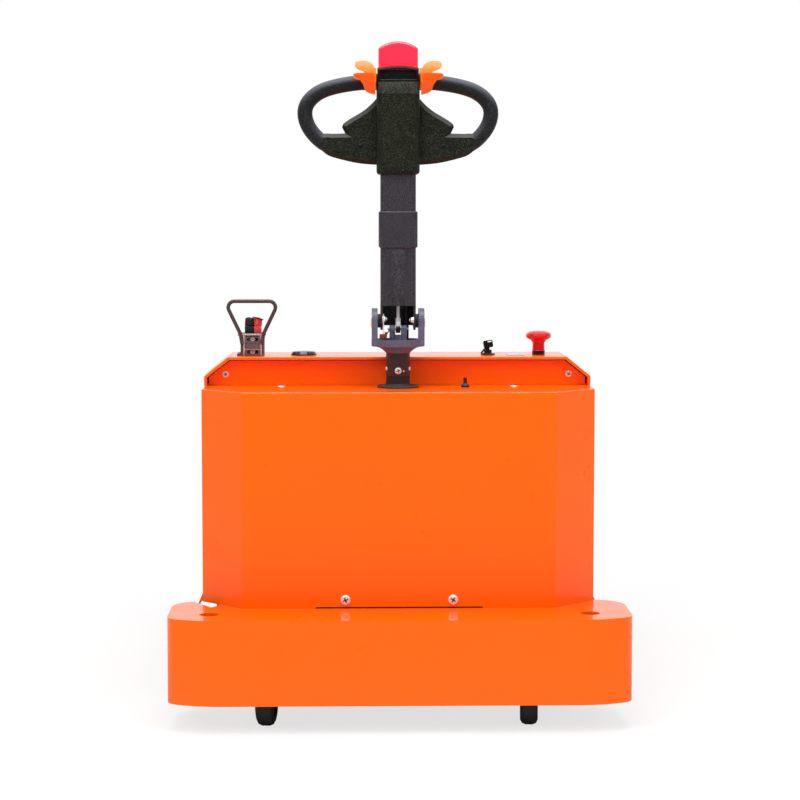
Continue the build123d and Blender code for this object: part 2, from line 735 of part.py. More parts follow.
def yoke():
    """Cast yoke: trumpet foot, open oval cup, two ears and the anchor post of the gas spring."""
    foot = Plane.XY.offset(COLLAR_HIGH) * Pos(0, COLUMN_Y) * Circle(COLLAR_R)
    waist = Plane.XY.offset(COLLAR_HIGH + 5) * Pos(0, COLUMN_Y) * Ellipse(COLLAR_R + 5, COLLAR_R + 4)
    rim = Plane.XY.offset(YOKE_RIM_LOW) * Pos(0, COLUMN_Y) * Ellipse(YOKE_WIDTH / 2 - 2, YOKE_DEPTH / 2 - 2)
    trumpet = loft([foot, waist, rim])
    cup = ellipse_disc(YOKE_WIDTH, YOKE_DEPTH, YOKE_RIM_LOW, YOKE_RIM_HIGH)
    bowl = ellipse_disc(YOKE_WIDTH - 2 * YOKE_WALL - 6, YOKE_DEPTH - 2 * YOKE_WALL, YOKE_RIM_LOW + 4,
                        YOKE_RIM_HIGH + 1)
    body = trumpet + cup - bowl
    for side in (-1, 1):
        body += ear(side)
    body += anchor_post()
    return body


def ear(side):
    """One ear of the yoke, round at its top and spread at its foot."""
    x0, x1 = sorted((side * EAR_INNER, side * EAR_OUTER))
    blade = side_profile(
        [(COLUMN_Y - EAR_FOOT_HALF, YOKE_RIM_LOW + 2), (COLUMN_Y + EAR_FOOT_HALF, YOKE_RIM_LOW + 2),
         (COLUMN_Y + EAR_R, TILT_Z), (COLUMN_Y - EAR_R, TILT_Z)],
        x0, x1,
    )
    blade += rod_x(EAR_R, x0, x1, COLUMN_Y, TILT_Z)
    blade &= ellipse_disc(YOKE_WIDTH + 8, YOKE_DEPTH + 30, YOKE_RIM_LOW, TILT_Z + EAR_R)
    return blade - rod_x(PIVOT_R, x0 - 5, x1 + 5, COLUMN_Y, TILT_Z)


def anchor_post():
    """Forked post in the cup that holds the lower eye of the gas spring."""
    y = COLUMN_Y + ANCHOR_Y
    post = box(-15, 15, y - ANCHOR_R, y + ANCHOR_R, YOKE_RIM_LOW + 3, ANCHOR_Z)
    post += rod_x(ANCHOR_R, -15, 15, y, ANCHOR_Z)
    gap = GAS_EYE_HALF + 1.0
    post -= box(-gap, gap, y - 2 * ANCHOR_R, y + 2 * ANCHOR_R, ANCHOR_Z - ANCHOR_R - 3,
                ANCHOR_Z + 2 * ANCHOR_R)
    return post - rod_x(ANCHOR_PIN_R, -20, 20, y, ANCHOR_Z)


def yoke_pins():
    """The two short pivot pins in the yoke's ears and the pin of the gas spring's lower eye."""
    pins = [rod_x(ANCHOR_PIN_R, -18, 18, COLUMN_Y + ANCHOR_Y, ANCHOR_Z)]
    for side in (-1, 1):
        x0, x1 = sorted((side * (ARM_WIDTH / 2 - ARM_WALL - 1), side * (EAR_OUTER + 1.5)))
        pins.append(rod_x(PIVOT_R, x0, x1, COLUMN_Y, TILT_Z))
    return pins


def tube(width, depth, wall, z0, z1, corner):
    """Upright rectangular tube round the column's axis."""
    outer = Pos(0, COLUMN_Y, (z0 + z1) / 2) * Box(width, depth, z1 - z0)
    outer = upright_edges(outer, corner)
    inner = Pos(0, COLUMN_Y, (z0 + z1) / 2) * Box(width - 2 * wall, depth - 2 * wall, z1 - z0 + 2)
    return outer - inner


def cheek(side):
    """One cheek of the arm with its bored boss, reaching down past the pivot at the back."""
    x0, x1 = sorted((side * (ARM_WIDTH / 2 - ARM_WALL), side * ARM_WIDTH / 2))
    half = ARM_DEPTH / 2
    top = ARM_SKIN_LOW + 4
    low = TILT_Z - ARM_BACK_DROP
    piece = side_profile(
        [(COLUMN_Y - CHEEK_R, TILT_Z), (COLUMN_Y, TILT_Z), (COLUMN_Y, low), (COLUMN_Y + half - 3, low),
         (COLUMN_Y + half, low + 3), (COLUMN_Y + half, top), (COLUMN_Y - half + 3, top)],
        x0, x1,
    )
    boss0, boss1 = sorted((side * (ARM_WIDTH / 2 - ARM_WALL), side * (EAR_INNER - SEAT)))
    piece += rod_x(CHEEK_R, x0, x1, COLUMN_Y, TILT_Z)
    piece += rod_x(CHEEK_R - 4, boss0, boss1, COLUMN_Y, TILT_Z)
    return piece - rod_x(PIVOT_R + RUN, boss0 - 2, boss1 + 2, COLUMN_Y, TILT_Z)


def gas_lug():
    """Cross bar and two ears inside the arm that hold the gas spring's upper pin."""
    inner = ARM_WIDTH / 2 - ARM_WALL
    y0 = COLUMN_Y + GAS_TOP_Y - 7
    y1 = COLUMN_Y + ARM_DEPTH / 2 - ARM_WALL + 1
    above = GAS_TOP_Z + GAS_EYE_R
    lug = box(-inner - 1, inner + 1, y0, y1, above + 2, above + 12)
    for side in (-1, 1):
        lug += box(side * (GAS_EYE_HALF + 1), side * (GAS_EYE_HALF + 6), y0, y1, GAS_TOP_Z - 7, above + 3)
    return lug - rod_x(ANCHOR_PIN_R, -12, 12, COLUMN_Y + GAS_TOP_Y, GAS_TOP_Z)


def tiller_arm():
    """Ribbed arm tube, open at the front near the pivot, whose cheeks and back reach lower."""
    arm = tube(ARM_WIDTH, ARM_DEPTH, ARM_WALL, ARM_SKIN_LOW, ARM_TOP, 5)
    front = COLUMN_Y - ARM_DEPTH / 2
    back = COLUMN_Y + ARM_DEPTH / 2
    reach = ARM_WIDTH / 2 - 1
    arm += box(-reach, reach, back - ARM_WALL, back, TILT_Z - ARM_BACK_DROP + 3, ARM_SKIN_LOW + 6)
    for side in (-1, 1):
        arm += box(side * ARM_RIDGE_X - 2, side * ARM_RIDGE_X + 2, front - 1.5, front + 1,
                   ARM_SKIN_LOW, SLEEVE_LOW - SEAT)
        arm += cheek(side)
    return arm + gas_lug()


def cable_foot():
    """Lower length of the control cable, from the yoke's cup up to the height of the pivot."""
    return rod_z(CABLE_R, CABLE_X, COLUMN_Y + CABLE_Y, YOKE_RIM_LOW + 4, TILT_Z - SEAT / 2)


def cable_run():
    """Upper length of the control cable, from the pivot's height up inside the arm."""
    y = COLUMN_Y + CABLE_Y
    lean = CABLE_X - 1
    path = FilletPolyline((CABLE_X, y, TILT_Z + SEAT / 2), (CABLE_X, y, TILT_Z + 40),
                          (lean + 2, y, CABLE_TOP),
                          radius=CABLE_BEND)
    section = Plane(origin=path @ 0, z_dir=path % 0) * Circle(CABLE_R)
    return sweep(section, path=path)


def gas_top_pin():
    """Pin of the gas spring's upper eye."""
    return rod_x(ANCHOR_PIN_R, -11, 11, COLUMN_Y + GAS_TOP_Y, GAS_TOP_Z)


def arm_sleeve():
    """Wider clamp sleeve round the arm."""
    outer = Pos(0, COLUMN_Y, (SLEEVE_LOW + SLEEVE_HIGH) / 2) * Box(SLEEVE_WIDTH, SLEEVE_DEPTH,
                                                                   SLEEVE_HIGH - SLEEVE_LOW)
    outer = upright_edges(outer, 7)
    ends = outer.edges().filter_by_position(Axis.Z, SLEEVE_LOW - 0.1, SLEEVE_LOW + 0.1)
    ends += outer.edges().filter_by_position(Axis.Z, SLEEVE_HIGH - 0.1, SLEEVE_HIGH + 0.1)
    outer = chamfer(ends, 2)
    core = Pos(0, COLUMN_Y, (SLEEVE_LOW + SLEEVE_HIGH) / 2) * Box(ARM_WIDTH, ARM_DEPTH, SLEEVE_HIGH)
    return outer - upright_edges(core, 5)


def gas_frame():
    """The place and lean of the gas spring at rest, from its upper eye to its lower one."""
    top = Vector(0, COLUMN_Y + GAS_TOP_Y, GAS_TOP_Z)
    low = Vector(0, COLUMN_Y + ANCHOR_Y, ANCHOR_Z)
    return Plane(origin=top, x_dir=(1, 0, 0), z_dir=(low - top).normalized()), (low - top).length


def gas_cylinder():
    """Gas spring body with its upper eye and the bore that the rod runs in."""
    place, _ = gas_frame()
    neck = GAS_EYE_R + 6
    body = Pos(0, 0, neck + GAS_BODY_LENGTH / 2) * Cylinder(GAS_R, GAS_BODY_LENGTH)
    body += Pos(0, 0, neck / 2) * Cylinder(3.8, neck)
    body += Rot(0, 90, 0) * Cylinder(GAS_EYE_R, 2 * GAS_EYE_HALF)
    end = neck + GAS_BODY_LENGTH
    body -= Pos(0, 0, end - GAS_BORE_LENGTH / 2) * Cylinder(GAS_ROD_R + RUN, GAS_BORE_LENGTH + 0.01)
    body -= Rot(0, 90, 0) * Cylinder(ANCHOR_PIN_R + 0.1, 40)
    return place * body


def gas_rod():
    """Gas spring rod with its lower eye, open at the pin by a running gap."""
    place, reach = gas_frame()
    end = GAS_EYE_R + 6 + GAS_BODY_LENGTH
    start = end - GAS_ROD_INSIDE
    body = Pos(0, 0, (start + reach) / 2) * Cylinder(GAS_ROD_R, reach - start)
    body += Pos(0, 0, reach - GAS_EYE_R - 6) * Cylinder(GAS_EYE_HALF + 0.6, 12)
    body += Pos(0, 0, reach) * Rot(0, 90, 0) * Cylinder(GAS_EYE_R, 2 * GAS_EYE_HALF)
    body -= Pos(0, 0, reach) * Rot(0, 90, 0) * Cylinder(ANCHOR_PIN_R + ANCHOR_PIN_PLAY, 40)
    return place * body


def head_block(width, depth, z0, z1, corner):
    """Upright block of the head with rounded corners."""
    block = Pos(0, COLUMN_Y, (z0 + z1) / 2) * Box(width, depth, z1 - z0)
    return upright_edges(block, corner)


def loop_point(across, down):
    """A place on the loop grip from shares of its half span and of its height."""
    return (-LOOP_HALF * across, HEAD_STEP - LOOP_DROP * down)


def head_wing():
    """Left wing of the head: the web between the housing and the lower run of the grip."""
    root = -HEAD_WIDTH / 2 + 7
    top = Spline((root, HEAD_STEP - 20), loop_point(0.26, 0.28), loop_point(0.37, 0.41),
                 loop_point(0.52, 0.53),
                 loop_point(0.59, 0.6))
    tip = Polyline(top @ 1, loop_point(0.6, 0.64), loop_point(0.565, 0.73), loop_point(0.72, 0.735))
    heel = Spline(tip @ 1, loop_point(0.85, 0.8), loop_point(0.8, 0.99), loop_point(0.66, 1.08),
                  loop_point(0.4, 1.155), (root, HEAD_STEP - LOOP_DROP * 1.175))
    close = Line(heel @ 1, top @ 0)
    outline = make_face(Plane.XZ.offset(-COLUMN_Y - WING_THICKNESS / 2) * (top + tip + heel + close))
    wing = extrude(outline, WING_THICKNESS, dir=(0, -1, 0))
    faces = wing.faces().filter_by(Axis.Y)
    rims = faces[0].edges() + faces[-1].edges()
    return chamfer(rims.filter_by(lambda e: e.center().X < root - 2), WING_BEVEL)


def head_housing():
    """Moulded head: lower housing with its two wings, and the recessed upper block."""
    lower = head_block(HEAD_WIDTH, HEAD_DEPTH, HEAD_LOW, HEAD_STEP, 12)
    base = lower.edges().filter_by_position(Axis.Z, HEAD_LOW - 0.1, HEAD_LOW + 0.1)
    lower = fillet(base, 6)
    upper = head_block(CAP_WIDTH, CAP_DEPTH, HEAD_STEP - 1, CAP_TOP, 10)
    front = COLUMN_Y - CAP_DEPTH / 2
    upper -= box(-RECESS_HALF, RECESS_HALF, front - 1, front + RECESS_DEPTH, HEAD_STEP + 3, CAP_TOP - 4)
    wing = head_wing()
    return lower + upper + wing + mirror_x(wing)


def grip_path():
    """Centre line of the left loop grip, from beside the paddle round to the wing."""
    shares = [(0.31, 0.0), (0.67, 0.066), (0.875, 0.175), (0.99, 0.365), (0.98, 0.57),
              (0.89, 0.76), (0.75, 0.9), (0.58, 0.97), (0.36, 0.99)]
    points = []
    for across, down in shares:
        x, z = loop_point(across, down)
        points.append((x, COLUMN_Y, z))
    return Spline(*points, tangents=[(-1, 0, -0.06), (1, 0, 0)])


def grip_left():
    """Left loop grip, a round bar that runs into the wing."""
    path = grip_path()
    section = Plane(origin=path @ 0, z_dir=path % 0) * Circle(GRIP_R)
    bar = sweep(section, path=path)
    inner_x = -CAP_WIDTH / 2 - SEAT
    collar = rod_x(GRIP_R + 1, -62, inner_x, COLUMN_Y, HEAD_STEP)
    keep = box(-2 * LOOP_HALF, inner_x, COLUMN_Y - 60, COLUMN_Y + 60, HEAD_LOW, HEAD_STEP + 60)
    housing = head_block(HEAD_WIDTH + 2 * SEAT, HEAD_DEPTH, HEAD_LOW, HEAD_STEP, 12)
    bar = ((bar + collar) & keep) - head_wing() - housing
    solids = sorted(bar.solids(), key=lambda s: s.volume)
    return solids[-1]


def paddle_outline():
    """Front outline of the left paddle: a rounded upper lobe and a hooked lower wing."""
    root = -HEAD_WIDTH / 2 - 2
    level = PADDLE_AXIS_Z
    lobe = Spline((root - 1, level + 10), (-43, level + 21), (-52, level + 28), (-65, level + 29),
                  (-74, level + 25), (-73, level + 18), (-63, level + 12), (-57, level + 9))
    hook = Spline((-57, level + 9), (-67, level + 8), (-77, level + 5), (-75, level - 1), (-66, level - 4),
                  (-60, level - 12), (-56, level - 22), (-49, level - 26), (root, level - 28))
    close = Line(hook @ 1, lobe @ 0)
    return make_face(Plane.XZ.offset(-COLUMN_Y - 10) * (lobe + hook + close))


def throttle_paddle(side):
    """One butterfly paddle of the speed control, curved about the head's cross axis."""
    prism = extrude(paddle_outline(), 90, dir=(0, -1, 0))
    outer = rod_x(PADDLE_R, -90, -HEAD_WIDTH / 2 - 1, COLUMN_Y, PADDLE_AXIS_Z)
    inner = rod_x(PADDLE_R - PADDLE_THICKNESS, -95, 0, COLUMN_Y, PADDLE_AXIS_Z)
    shell = (outer - inner) & prism
    inner_x = -HEAD_WIDTH / 2 - SEAT
    hub = rod_x(GRIP_R + 6, -47, inner_x, COLUMN_Y, PADDLE_AXIS_Z)
    web = box(-45, inner_x - 1, COLUMN_Y - PADDLE_R + 3, COLUMN_Y, PADDLE_AXIS_Z - 8, PADDLE_AXIS_Z + 8)
    paddle = shell + hub + web
    paddle -= rod_x(GRIP_R + 1 + SEAT, -90, 0, COLUMN_Y, HEAD_STEP)
    solids = sorted(paddle.solids(), key=lambda s: s.volume)
    return solids[-1] if side < 0 else mirror_x(solids[-1])


def belly_button():
    """Red reversing button on the head's top."""
    half = BUTTON_HALF_WIDTH
    y0 = COLUMN_Y - BUTTON_DEPTH / 2
    outline = (
        Polyline((half, BUTTON_SHOULDER), (half, BUTTON_LOW), (-half, BUTTON_LOW), (-half, BUTTON_SHOULDER))
        + ThreePointArc((-half, BUTTON_SHOULDER), (0, BUTTON_APEX), (half, BUTTON_SHOULDER))
    )
    face = Plane(origin=(0, y0, 0), x_dir=(1, 0, 0), z_dir=(0, -1, 0)) * make_face(outline)
    body = extrude(face, BUTTON_DEPTH, dir=(0, 1, 0))
    rims = body.edges().filter_by_position(Axis.Z, BUTTON_SHOULDER - 1, BUTTON_APEX + 1)
    rims += body.edges().filter_by(Axis.Z)
    return fillet(rims, 6)


def caster_place(side):
    """Frame of a caster: its swivel axis, turned a little from straight."""
    return Pos(side * CASTER_X, CASTER_Y, 0) * Rot(0, 0, CASTER_YAW)


def caster_fork(side):
    """Swivel crown with its stem and two raked fork plates."""
    inner = CASTER_WIDTH / 2 + CASTER_FORK_GAP
    outer = inner + CASTER_FORK_PLATE
    crown = rod_z(CASTER_CROWN_R, 0, 0, CASTER_CROWN_LOW, CASTER_CROWN_HIGH)
    crown += rod_z(CASTER_STEM_R, 0, 0, CASTER_CROWN_HIGH, CASTER_STEM_TOP)
    low = CASTER_R
    for way in (-1, 1):
        x0, x1 = sorted((way * inner, way * outer))
        blade = side_profile(
            [(-24, CASTER_CROWN_LOW + 2), (24, CASTER_CROWN_LOW + 2), (-CASTER_TRAIL + 12, low - 4),
             (-CASTER_TRAIL - 12, low - 4)],
            x0, x1,
        )
        blade += rod_x(12, x0, x1, -CASTER_TRAIL, low)
        crown += blade
    axle = rod_x(CASTER_AXLE_R, -outer - 2, outer + 2, -CASTER_TRAIL, low)
    return caster_place(side) * (crown + axle)


def caster_wheel(side):
    """Small solid wheel of a caster."""
    half = CASTER_WIDTH / 2
    bore = CASTER_AXLE_R + RUN
    points = [(-half, bore), (-half, 16), (-half + 5, 19), (-half + 5, 31), (-half, 34),
              (-half, CASTER_R - 8),
              (-half + 3, CASTER_R - 2.5), (-half + 9, CASTER_R), (half - 9, CASTER_R),
              (half - 3, CASTER_R - 2.5),
              (half, CASTER_R - 8), (half, 34), (half - 5, 31), (half - 5, 19), (half, 16), (half, bore)]
    return caster_place(side) * wheel_turned(points, 0, -CASTER_TRAIL, CASTER_R)


def caster_mounts():
    """Boxed pads under the bumper's top plate with the casters' swivel bearings."""
    mounts = []
    deck = BUMPER_HIGH - BUMPER_WALL
    for side in (-1, 1):
        half = CASTER_MOUNT_HALF
        x = side * CASTER_X
        plate_z = CASTER_CROWN_HIGH + SEAT + 5
        pad = box(x - half, x + half, CASTER_Y - half, CASTER_Y + half, plate_z, plate_z + 6)
        pad = upright_edges(pad, 8)
        post = box(x - half + 10, x + half - 10, CASTER_Y - half + 10, CASTER_Y + half - 10,
                   plate_z + 6, deck)
        race = rod_z(CASTER_CROWN_R - 6, x, CASTER_Y, CASTER_CROWN_HIGH + SEAT, plate_z)
        mount = pad + post + race
        mount -= rod_z(CASTER_STEM_R + RUN, x, CASTER_Y, 0, CASTER_STEM_TOP + 3)
        mounts.append(mount)
    return mounts


def rear_axle():
    """Through axle under the battery tray."""
    reach = REAR_X + REAR_WIDTH / 2 + 2
    return rod_x(AXLE_R, -reach, reach, REAR_Y, REAR_R)


def rear_hub(side):
    """Dished cast hub with its cap."""
    half = REAR_WIDTH / 2
    bore = AXLE_R + RUN
    rim = REAR_RIM_R
    points = [(-half + 2, bore), (-half + 2, HUB_CAP_R), (-half + 14, HUB_BOSS_R),
              (-half + 24, rim - HUB_DISH), (-half + 3, rim - HUB_LIP), (-half + 3, rim),
              (half - 3, rim), (half - 3, rim - HUB_LIP), (half - 26, rim - HUB_DISH),
              (half - 20, HUB_BOSS_R + 4), (half - 6, HUB_BOSS_R), (half + 4, HUB_CAP_R - 6),
              (half + 6, 0), (half + 2 + SEAT, 0), (half + 2 + SEAT, bore)]
    points = [(a if side > 0 else -a, r) for a, r in points]
    return wheel_turned(points, side * REAR_X, REAR_Y, REAR_R)


def rear_tyre(side):
    """Solid rubber tyre of a rear wheel."""
    return wheel_turned(tyre(REAR_R, REAR_RIM_R, REAR_WIDTH, 9), side * REAR_X, REAR_Y, REAR_R)


def battery():
    """Traction battery: steel case with two rows of cell lids."""
    floor = TRAY_FLOOR + PLATE
    top = floor + BATTERY_HEIGHT
    y0 = FRONT_Y + BATTERY_FRONT
    y1 = FRONT_Y + BATTERY_BACK
    half = BATTERY_HALF_WIDTH
    case = box(-half, half, y0, y1, floor, top)
    cell_length = (y1 - y0 - 16) / 6
    for row in (-1, 1):
        for index in range(6):
            low = y0 + 8 + index * cell_length
            x0, x1 = sorted((row * 4, row * (half - 8)))
            case += box(x0, x1, low + 3, low + cell_length - 3, top, top + 8)
    return case


def tow_jaw():
    """Cast tow jaw: base plate and two rounded tongues with a bore for the pin."""
    y0 = BODY_BACK_Y
    base = box(-TOW_BASE_HALF, TOW_BASE_HALF, y0, y0 + TOW_BASE, TOW_Z - TOW_BASE_HEIGHT / 2,
               TOW_Z + TOW_BASE_HEIGHT / 2)
    base = fillet(base.edges().filter_by(Axis.Y), 12)
    jaw = base
    for way in (-1, 1):
        low, high = sorted((TOW_Z + way * TOW_GAP / 2, TOW_Z + way * (TOW_GAP / 2 + TOW_PLATE)))
        tongue = box(-TOW_HALF_WIDTH, TOW_HALF_WIDTH, y0 + TOW_BASE - 1, TOW_PIN_Y, low, high)
        tongue += rod_z(TOW_HALF_WIDTH, 0, TOW_PIN_Y, low, high)
        jaw += tongue
        for side in (-1, 1):
            x0, x1 = sorted((side * (TOW_HALF_WIDTH - 12), side * TOW_HALF_WIDTH))
            edge = TOW_Z + way * (TOW_GAP / 2 + TOW_PLATE)
            rise = TOW_Z + way * (TOW_BASE_HEIGHT / 2 - 8)
            jaw += side_profile([(y0 + TOW_BASE - 1, edge), (y0 + TOW_BASE + 38, edge),
                                 (y0 + TOW_BASE - 1, rise)], x0, x1)
    return jaw - rod_z(TOW_PIN_R + RUN, 0, TOW_PIN_Y, 0, 2 * TOW_Z)


def tow_pin():
    """Drop pin with a collar and a lifting ring."""
    tongue_top = TOW_Z + TOW_GAP / 2 + TOW_PLATE
    low = TOW_Z - TOW_GAP / 2 - TOW_PLATE - TOW_PIN_REACH
    head = tongue_top + SEAT
    pin = turned(
        [(0, low), (TOW_PIN_R - 5, low), (TOW_PIN_R, low + 9), (TOW_PIN_R, head), (TOW_PIN_R + 9, head),
         (TOW_PIN_R + 9, head + 8), (TOW_PIN_R - 2, head + 10), (TOW_PIN_R - 2, head + TOW_PIN_STEM),
         (0, head + TOW_PIN_STEM)],
        0, TOW_PIN_Y,
    )
    ring_z = head + TOW_PIN_STEM + TOW_RING_R - TOW_RING_WIRE
    ring = Pos(0, TOW_PIN_Y, ring_z) * Rot(90, 0, 0) * Torus(TOW_RING_R, TOW_RING_WIRE)
    return pin + ring


def power_connector():
    """Fixed half of the battery connector on the console."""
    half = CONNECTOR_WIDTH / 2
    y0 = CONTROL_Y - CONNECTOR_DEPTH / 2
    y1 = CONTROL_Y + CONNECTOR_DEPTH / 2
    x = CONNECTOR_X
    low = CONSOLE_TOP
    body = box(x - half, x + half, y0, y1, low, low + CONNECTOR_HEIGHT / 2 - 1)
    for side in (-1, 1):
        body -= box(x + side * (half - 6), x + side * (half - 14), y0 - 1, y0 + 7, low + 4,
                    low + CONNECTOR_HEIGHT)
    base = box(x - half - 6, x + half, y0 - 2, y1 + 2, low, low + 4)
    return body + base


def connector_plug():
    """Plug half of the battery connector, with the two sleeves that its leads leave from."""
    half = CONNECTOR_WIDTH / 2
    y0 = CONTROL_Y - CONNECTOR_DEPTH / 2
    y1 = CONTROL_Y + CONNECTOR_DEPTH / 2
    x = CONNECTOR_X
    low = CONSOLE_TOP + CONNECTOR_HEIGHT / 2 - 1 + SEAT
    top = CONSOLE_TOP + CONNECTOR_HEIGHT
    body = box(x - half, x + half, y0, y1, low, top)
    for side in (-1, 1):
        body -= box(x + side * (half - 6), x + side * (half - 14), y0 - 1, y0 + 7, low - 1, top - 4)
        body -= rod_z(LEAD_R, x + side * LEAD_HALF_GAP, CONTROL_Y, top - 8, top + 1)
    bar = box(x - half - 5, x + half + 2, y0, y0 + 5, top - 3.5, top)
    return body + bar


def battery_leads():
    """The two thick leads that rise from the plug, bend back and go down through the console."""
    leads = []
    top = CONSOLE_TOP + CONNECTOR_HEIGHT
    crest = CONSOLE_TOP + LEAD_RISE
    for side in (-1, 1):
        x = CONNECTOR_X + side * LEAD_HALF_GAP
        path = FilletPolyline((x, CONTROL_Y, top - 8), (x, CONTROL_Y, crest),
                              (x, CONTROL_Y + LEAD_BACK, crest),
                              (x, CONTROL_Y + LEAD_BACK, CONSOLE_TOP), radius=LEAD_BEND)
        section = Plane(origin=path @ 0, z_dir=path % 0) * Circle(LEAD_R)
        leads.append(sweep(section, path=path))
    return leads


def connector_handle():
    """Bent rod handle of the plug, wider at its top."""
    y = CONTROL_Y - CONNECTOR_DEPTH / 2 - HANDLE_R - SEAT
    x = CONNECTOR_X
    top = HANDLE_TOP - HANDLE_R
    low = CONSOLE_TOP + CONNECTOR_HEIGHT * 0.55
    foot = HANDLE_FOOT_SPAN / 2
    span = HANDLE_SPAN / 2 - HANDLE_R
    neck = CONSOLE_TOP + CONNECTOR_HEIGHT
    path = FilletPolyline(
        (x - foot + 3, y, low), (x - foot, y, neck), (x - span, y, top), (x + span, y, top),
        (x + foot, y, neck),
        (x + foot - 3, y, low), radius=[20, 11, 11, 20],
    )
    section = Plane(origin=path @ 0, z_dir=path % 0) * Circle(HANDLE_R)
    return sweep(section, path=path)


def charge_gauge():
    """Low round charge gauge."""
    low = CONSOLE_TOP
    return turned(
        [(0, low), (GAUGE_R, low), (GAUGE_R, low + 2), (GAUGE_R - 3, low + GAUGE_HEIGHT),
         (GAUGE_R - 7, low + GAUGE_HEIGHT), (GAUGE_R - 8, low + GAUGE_HEIGHT - 1),
         (0, low + GAUGE_HEIGHT - 1)],
        GAUGE_X, CONTROL_Y,
    )


def key_switch():
    """Key switch: round flange, barrel and the key's flat head, turned a little."""
    low = CONSOLE_TOP
    barrel = turned([(0, low), (KEY_R, low), (KEY_R, low + 2), (KEY_R - 2, low + 3), (7, low + 3.5),
                     (7, low + 9),
                     (0, low + 9)], KEY_X, CONTROL_Y)
    blade = box(KEY_X - 4, KEY_X + 3, CONTROL_Y - 1.2, CONTROL_Y + 1.2, low + 8, low + 14)
    lean = Pos(KEY_X + 0.5, CONTROL_Y, low + 19) * Rot(0, -8, 0)
    bow = fillet(Box(17, 4, 13).edges().filter_by(Axis.Y), 2.5)
    bow -= Pos(3, 0, 4) * Box(7, 10, 2)
    tab = Pos(KEY_X - 8, CONTROL_Y - 3, low + 8) * Rot(0, 40, 0) * Box(3, 4, 14)
    return barrel + blade + lean * bow + tab


def stop_button():
    """Mushroom emergency stop on its short round base."""
    low = CONSOLE_TOP
    top = STOP_TOP
    cap_low = top - 15
    return turned(
        [(0, low), (STOP_STEM_R + 0.5, low), (STOP_STEM_R + 0.5, low + STOP_BASE_HEIGHT),
         (STOP_STEM_R, low + STOP_BASE_HEIGHT + 1), (STOP_STEM_R - 0.5, cap_low - 6),
         (STOP_STEM_R + 3, cap_low - 1),
         (STOP_CAP_R - 5, cap_low + 1), (STOP_CAP_R - 1.5, cap_low + 3), (STOP_CAP_R, cap_low + 7),
         (STOP_CAP_R - 1.5, cap_low + 11), (STOP_CAP_R - 6, top - 1.5), (STOP_CAP_R - 12, top), (0, top)],
        STOP_X, CONTROL_Y,
    )


def label_plate():
    """Blank plate beside the key switch."""
    return box(LABEL_X - LABEL_WIDTH / 2, LABEL_X + LABEL_WIDTH / 2, CONTROL_Y - LABEL_DEPTH / 2,
               CONTROL_Y + LABEL_DEPTH / 2, CONSOLE_TOP, CONSOLE_TOP + 1)


def toggle_switch():
    """Small booted toggle on the hood's top."""
    low = HOOD_TOP
    return turned(
        [(0, low), (7.5, low), (7.5, low + 3), (5, low + 5), (3.4, low + 7), (3, low + 16), (2, low + 17.5),
         (0, low + 17.5)],
        TOGGLE_X, FRONT_Y + TOGGLE_DEPTH,
    )


def write(name, pieces):
    """Write one node, of one solid or several that do not touch."""
    if isinstance(pieces, (list, tuple)):
        shape = Compound(children=list(pieces))
    else:
        shape = pieces
    shape.label = name
    export_step(shape, os.path.join("parts", name + ".step"))


def build():
    """Every node by name."""
    nodes = {
        "bumper": bumper(),
        "front_frame": [front_deck(), turntable_bridge()],
        "rear_frame": [rail(-1), rail(1), rear_plate()],
        "battery_tray": battery_tray(),
        "drive_hood": drive_hood(),
        "console_shell": console_shell(),
        "console_panel": console_panel(),
        "side_panel_right": side_panel(),
        "side_panel_left": mirror_x(side_panel()),
        "rear_panel": rear_panel(),
        "lid_hinges": lid_hinges(),
        "hinge_pins": hinge_pins(),
        "battery_lid": battery_lid(),
        "battery": battery(),
        "slew_ring": slew_ring(),
        "gearbox": gearbox(),
        "drive_motor": drive_motor(),
        "drive_hub": drive_hub(),
        "drive_tyre": drive_tyre(),
        "steering_column": steering_column(),
        "column_collar": column_collar(),
        "column_grommet": column_grommet(),
        "yoke": yoke(),
        "yoke_pins": yoke_pins(),
        "cable_foot": cable_foot(),
        "cable_run": cable_run(),
        "tiller_arm": tiller_arm(),
        "gas_top_pin": gas_top_pin(),
        "arm_sleeve": arm_sleeve(),
        "gas_cylinder": gas_cylinder(),
        "gas_rod": gas_rod(),
        "head_housing": head_housing(),
        "grip_left": grip_left(),
        "grip_right": mirror_x(grip_left()),
        "throttle_paddles": [throttle_paddle(-1), throttle_paddle(1)],
        "belly_button": belly_button(),
        "caster_mounts": caster_mounts(),
        "rear_axle": rear_axle(),
        "tow_jaw": tow_jaw(),
        "tow_pin": tow_pin(),
        "power_connector": power_connector(),
        "connector_plug": connector_plug(),
        "battery_leads": battery_leads(),
        "connector_handle": connector_handle(),
        "charge_gauge": charge_gauge(),
        "key_switch": key_switch(),
        "stop_button": stop_button(),
        "label_plate": label_plate(),
        "toggle_switch": toggle_switch(),
    }
    for side, word in ((-1, "left"), (1, "right")):
        nodes["caster_fork_" + word] = caster_fork(side)
        nodes["caster_wheel_" + word] = caster_wheel(side)
        nodes["rear_hub_" + word] = rear_hub(side)
        nodes["rear_tyre_" + word] = rear_tyre(side)
    return nodes


os.makedirs("parts", exist_ok=True)
for node_name, node_pieces in build().items():
    write(node_name, node_pieces)
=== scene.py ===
"""Looks of a walk-behind electric tow tractor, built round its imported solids."""

import logging
import math
from dataclasses import dataclass, field
from enum import Enum

import bmesh
import bpy
from mathutils import Matrix, Vector


